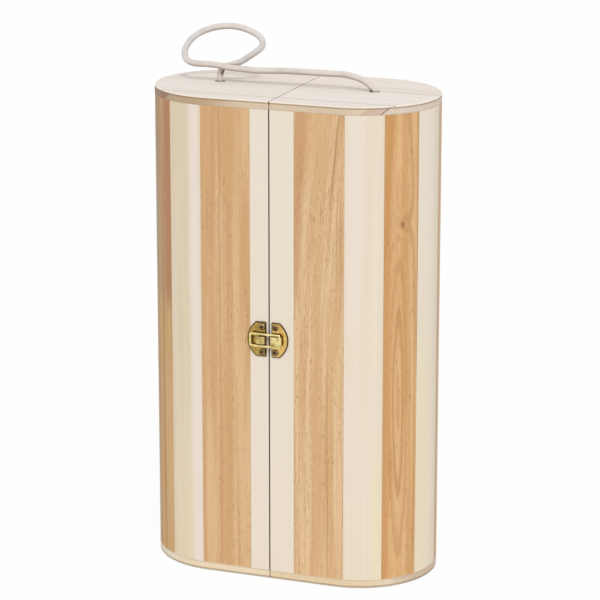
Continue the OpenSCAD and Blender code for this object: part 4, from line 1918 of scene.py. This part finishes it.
@dataclass
class Hinges:
    """The two brass hinges down the back: leaves rolled round a pin, and their screws."""

    plan: BoxPlan
    lifts: Mapping[str, float] = field(
        default_factory=lambda: {"lower": 62 * MM, "upper": 278 * MM}
    )
    length: float = 28 * MM
    reach: float = 15 * MM
    sheet: float = 1 * MM
    ease: float = 0.16 * MM
    knuckle: float = 2.2 * MM
    knuckle_gap: float = 0.3 * MM
    leaf_gap: float = 0.4 * MM
    pin: float = 1 * MM
    pin_end: float = 0.12 * MM
    # How far from the pin the sheet leaves the leaf, rises and meets its roll
    roll_feet: tuple[float, float, float] = (6.5 * MM, 4.6 * MM, 3.4 * MM)
    roll_sink: float = 0.03 * MM
    roll_end: float = -28.0
    roll_steps: int = 44
    pin_steps: int = 23
    screw_x: float = 9.5 * MM
    screw_pitch: float = 16 * MM
    # Degrees that the screws are turned by, on one half, at one end and on one hinge
    screw_turns: tuple[float, float, float] = (23.0, 37.0, 58.0)
    screw: Screw = field(default_factory=lambda: Screw(3.8 * MM, 0.7 * MM, slot_depth=0.4 * MM))

    def build(self) -> None:
        """Makes the leaves, the pins and the screws."""
        brass = HINGE_BRASS.material("hinge_brass")
        screw = SCREW_BRASS.material("hinge_screw_brass")
        for name, lift in self.lifts.items():
            for half in Half:
                self._leaf(f"{name}_hinge", lift, half, brass)
            self._pin(f"{name}_hinge_pin", lift, brass)
        for half in Half:
            self._screws(half, screw)

    @property
    def _axis(self) -> float:
        """How far behind the box's middle the pins stand."""
        return self.plan.end_radius + self.leaf_gap + self.knuckle

    def _roll_line(self) -> list[Pair]:
        """The right leaf's sheet seen from above, from inside the leaf to its roll's end.

        Returns:
            The middle of its sheet.
        """
        radius = self.knuckle - self.sheet / 2
        low = self.plan.end_radius + self.sheet / 2 - self.roll_sink
        first, second, last = self.roll_feet
        start = [(first, low), (second, low), (last, self._axis - radius)]
        return start + arc((0.0, self._axis), radius, 270, self.roll_end, self.roll_steps)

    def _leaf(self, hinge: str, lift: float, half: Half, brass: Material) -> None:
        """Makes a leaf: its plate and its knuckles.

        Args:
            hinge: The hinge's name.
            lift: Height of its middle.
            half: The half that the leaf is on.
            brass: Its material.
        """
        node = f"{hinge}_{half.label}_leaf"
        near, top = self.knuckle + self.leaf_gap, self.length / 2
        corners = ((near, -top), (self.reach, -top), (self.reach, top), (near, top))
        plate = Block([(x, y, self.ease) for x, y in corners], 0.0, self.sheet, low_ease=0.1)
        back = self.plan.end_radius
        piece = plate.build(f"brass_{node}", lambda x, y, z: half.place(x, back + z, lift + y))
        finish_piece(piece, brass, half.body, node, Slot.BRASS)
        height = (self.length - 2 * self.knuckle_gap) / 3
        step = height + self.knuckle_gap
        roll = bent_sheet(self._roll_line(), self.sheet, self.ease, height)
        for number, rise in enumerate((-step, step) if half is Half.LEFT else (0.0,), 1):
            piece = roll.build(
                f"brass_{node}_knuckle_{number}",
                lambda x, y, z, middle=lift + rise: half.place(x, y, middle + z),
            )
            finish_piece(piece, brass, half.body, node, Slot.BRASS)

    def _pin(self, node: str, lift: float, brass: Material) -> None:
        """Makes a pin.

        Args:
            node: Its node.
            lift: Height of its middle.
            brass: Its material.
        """
        last = 360 - 360 / (self.pin_steps + 1)
        line = arc((0.0, self._axis), self.pin, 0, last, self.pin_steps)
        top = self.length / 2 + self.pin_end
        block = Block([(x, y, self.pin_end) for x, y in line], lift - top, lift + top)
        piece = block.build(f"brass_{node}", lambda x, y, z: (x, y, z))
        finish_piece(piece, brass, Half.LEFT.body, node, Slot.BRASS)

    def _screws(self, half: Half, brass: Material) -> None:
        """Makes the four screws of a half's leaves.

        Args:
            half: The half.
            brass: Their material.
        """
        back = self.plan.end_radius + self.sheet
        x = half.value * self.screw_x
        by_half, by_end, by_hinge = self.screw_turns
        places = []
        for number, lift in enumerate(self.lifts.values()):
            for end in (-1, 1):
                z = lift + end * self.screw_pitch / 2
                turn = by_half * half.value + by_end * end + by_hinge * number
                places.append(turned(turn, lambda u, v, up, z=z: (x - u, back + up, z + v)))
        node = f"{half.label}_hinge_screws"
        piece = self.screw.build(f"{node}_heads", places)
        finish_piece(piece, brass, half.body, node, Slot.BRASS)


def aim(name: str, data: bpy.types.ID, place: Point, sight: Vector) -> Piece:
    """Puts a camera or a lamp into the scene.

    Args:
        name: What it is called.
        data: The camera or lamp.
        place: Where it stands.
        sight: Which way it points.

    Returns:
        The new object.
    """
    made = bpy.data.objects.new(name, data)
    made.location = place
    made.rotation_mode = "QUATERNION"
    made.rotation_quaternion = sight.to_track_quat("-Z", "Y")
    bpy.context.scene.collection.objects.link(made)
    return made


@dataclass
class PhotoCamera:
    """The camera at the photograph's place."""

    place: Point = (646.42 * MM, -1730.76 * MM, 686.89 * MM)
    sight: Point = (-0.33925, 0.90833, -0.24461)
    lens: float = 163.32
    sensor: float = 36.0
    shift: Pair = (0.0046, -0.075)
    clip: Pair = (0.05, 50.0)

    def build(self) -> None:
        """Makes the camera and has the scene use it."""
        data = bpy.data.cameras.new("photo_camera")
        data.sensor_width = self.sensor
        data.lens = self.lens
        data.shift_x, data.shift_y = self.shift
        data.clip_start, data.clip_end = self.clip
        camera = aim("photo_camera", data, self.place, Vector(self.sight))
        bpy.context.scene.camera = camera


@dataclass
class Studio:
    """A white floor and soft, level light."""

    floor_size: float = 16.0
    floor_tone: RGB = (0.9, 0.9, 0.9)
    glow: float = 0.92
    sky: float = 0.72
    key_from: Point = (1.10, -2.13, 2.70)
    key_spread: float = 0.22
    key_power: float = 1.2

    def build(self) -> None:
        """Makes the floor, the world and the lamp."""
        self._floor()
        self._world()
        self._lamp()
        bpy.context.scene.view_settings.view_transform = "Standard"

    @staticmethod
    def _seen(g: Graph) -> Signal:
        """Finds the rays that see the background, straight or in metal or glass.

        Args:
            g: The graph that asks.

        Returns:
            1 for those rays, and 0 for the rest.
        """
        rays = ("Is Camera Ray", "Is Glossy Ray", "Is Transmission Ray")
        camera, glossy, glass = (g.signal("ShaderNodeLightPath", ray) for ray in rays)
        return camera.higher(glossy).higher(glass)

    def _floor(self) -> None:
        """A wide floor that looks white and keeps the box's shadow."""
        half = self.floor_size / 2
        corners = [(-half, -half, 0), (half, -half, 0), (half, half, 0), (-half, half, 0)]
        floor = new_piece("floor", corners, [(0, 1, 2, 3)], {})
        g = Graph.of_material("white_floor")
        matt = g.add("ShaderNodeBsdfDiffuse", {}, {"Color": self.floor_tone}).outputs[0]
        lit = g.add("ShaderNodeEmission", {}, {"Color": WHITE, "Strength": 1.0}).outputs[0]
        both = g.add("ShaderNodeMixShader", {}, {0: self._seen(g) * self.glow, 1: matt, 2: lit})
        g.add("ShaderNodeOutputMaterial", {}, {"Surface": both.outputs[0]})
        floor.data.materials.append(g.owner)

    def _world(self) -> None:
        """White behind the box, and plain light all round it."""
        world = bpy.data.worlds.new("studio")
        bpy.context.scene.world = world
        g = Graph(world)
        strength = self._seen(g) * (1 - self.sky) + self.sky
        back = g.add("ShaderNodeBackground", {}, {"Color": WHITE, "Strength": strength})
        g.add("ShaderNodeOutputWorld", {}, {"Surface": back.outputs[0]})

    def _lamp(self) -> None:
        """The key lamp: far away, at the front and to the right."""
        data = bpy.data.lights.new("key", "SUN")
        data.angle = self.key_spread
        data.energy = self.key_power
        aim("key", data, self.key_from, -Vector(self.key_from))


def main() -> None:
    """Builds the camera, the rope, the wood, the brass and the studio, in that order."""
    logging.basicConfig(level=logging.INFO, format="%(name)s: %(message)s")
    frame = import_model()
    log.info("frame: %d nodes", len(frame["nodes"]))
    PhotoCamera().build()
    plan = BoxPlan()
    boards = EndBoards(plan)
    RopeHandle(plan, boards).build()
    StaveWall(plan).build()
    boards.build()
    NeckBoards(plan).build()
    Latch(plan).build()
    Hinges(plan).build()
    Studio().build()


if __name__ == "__main__":
    main()
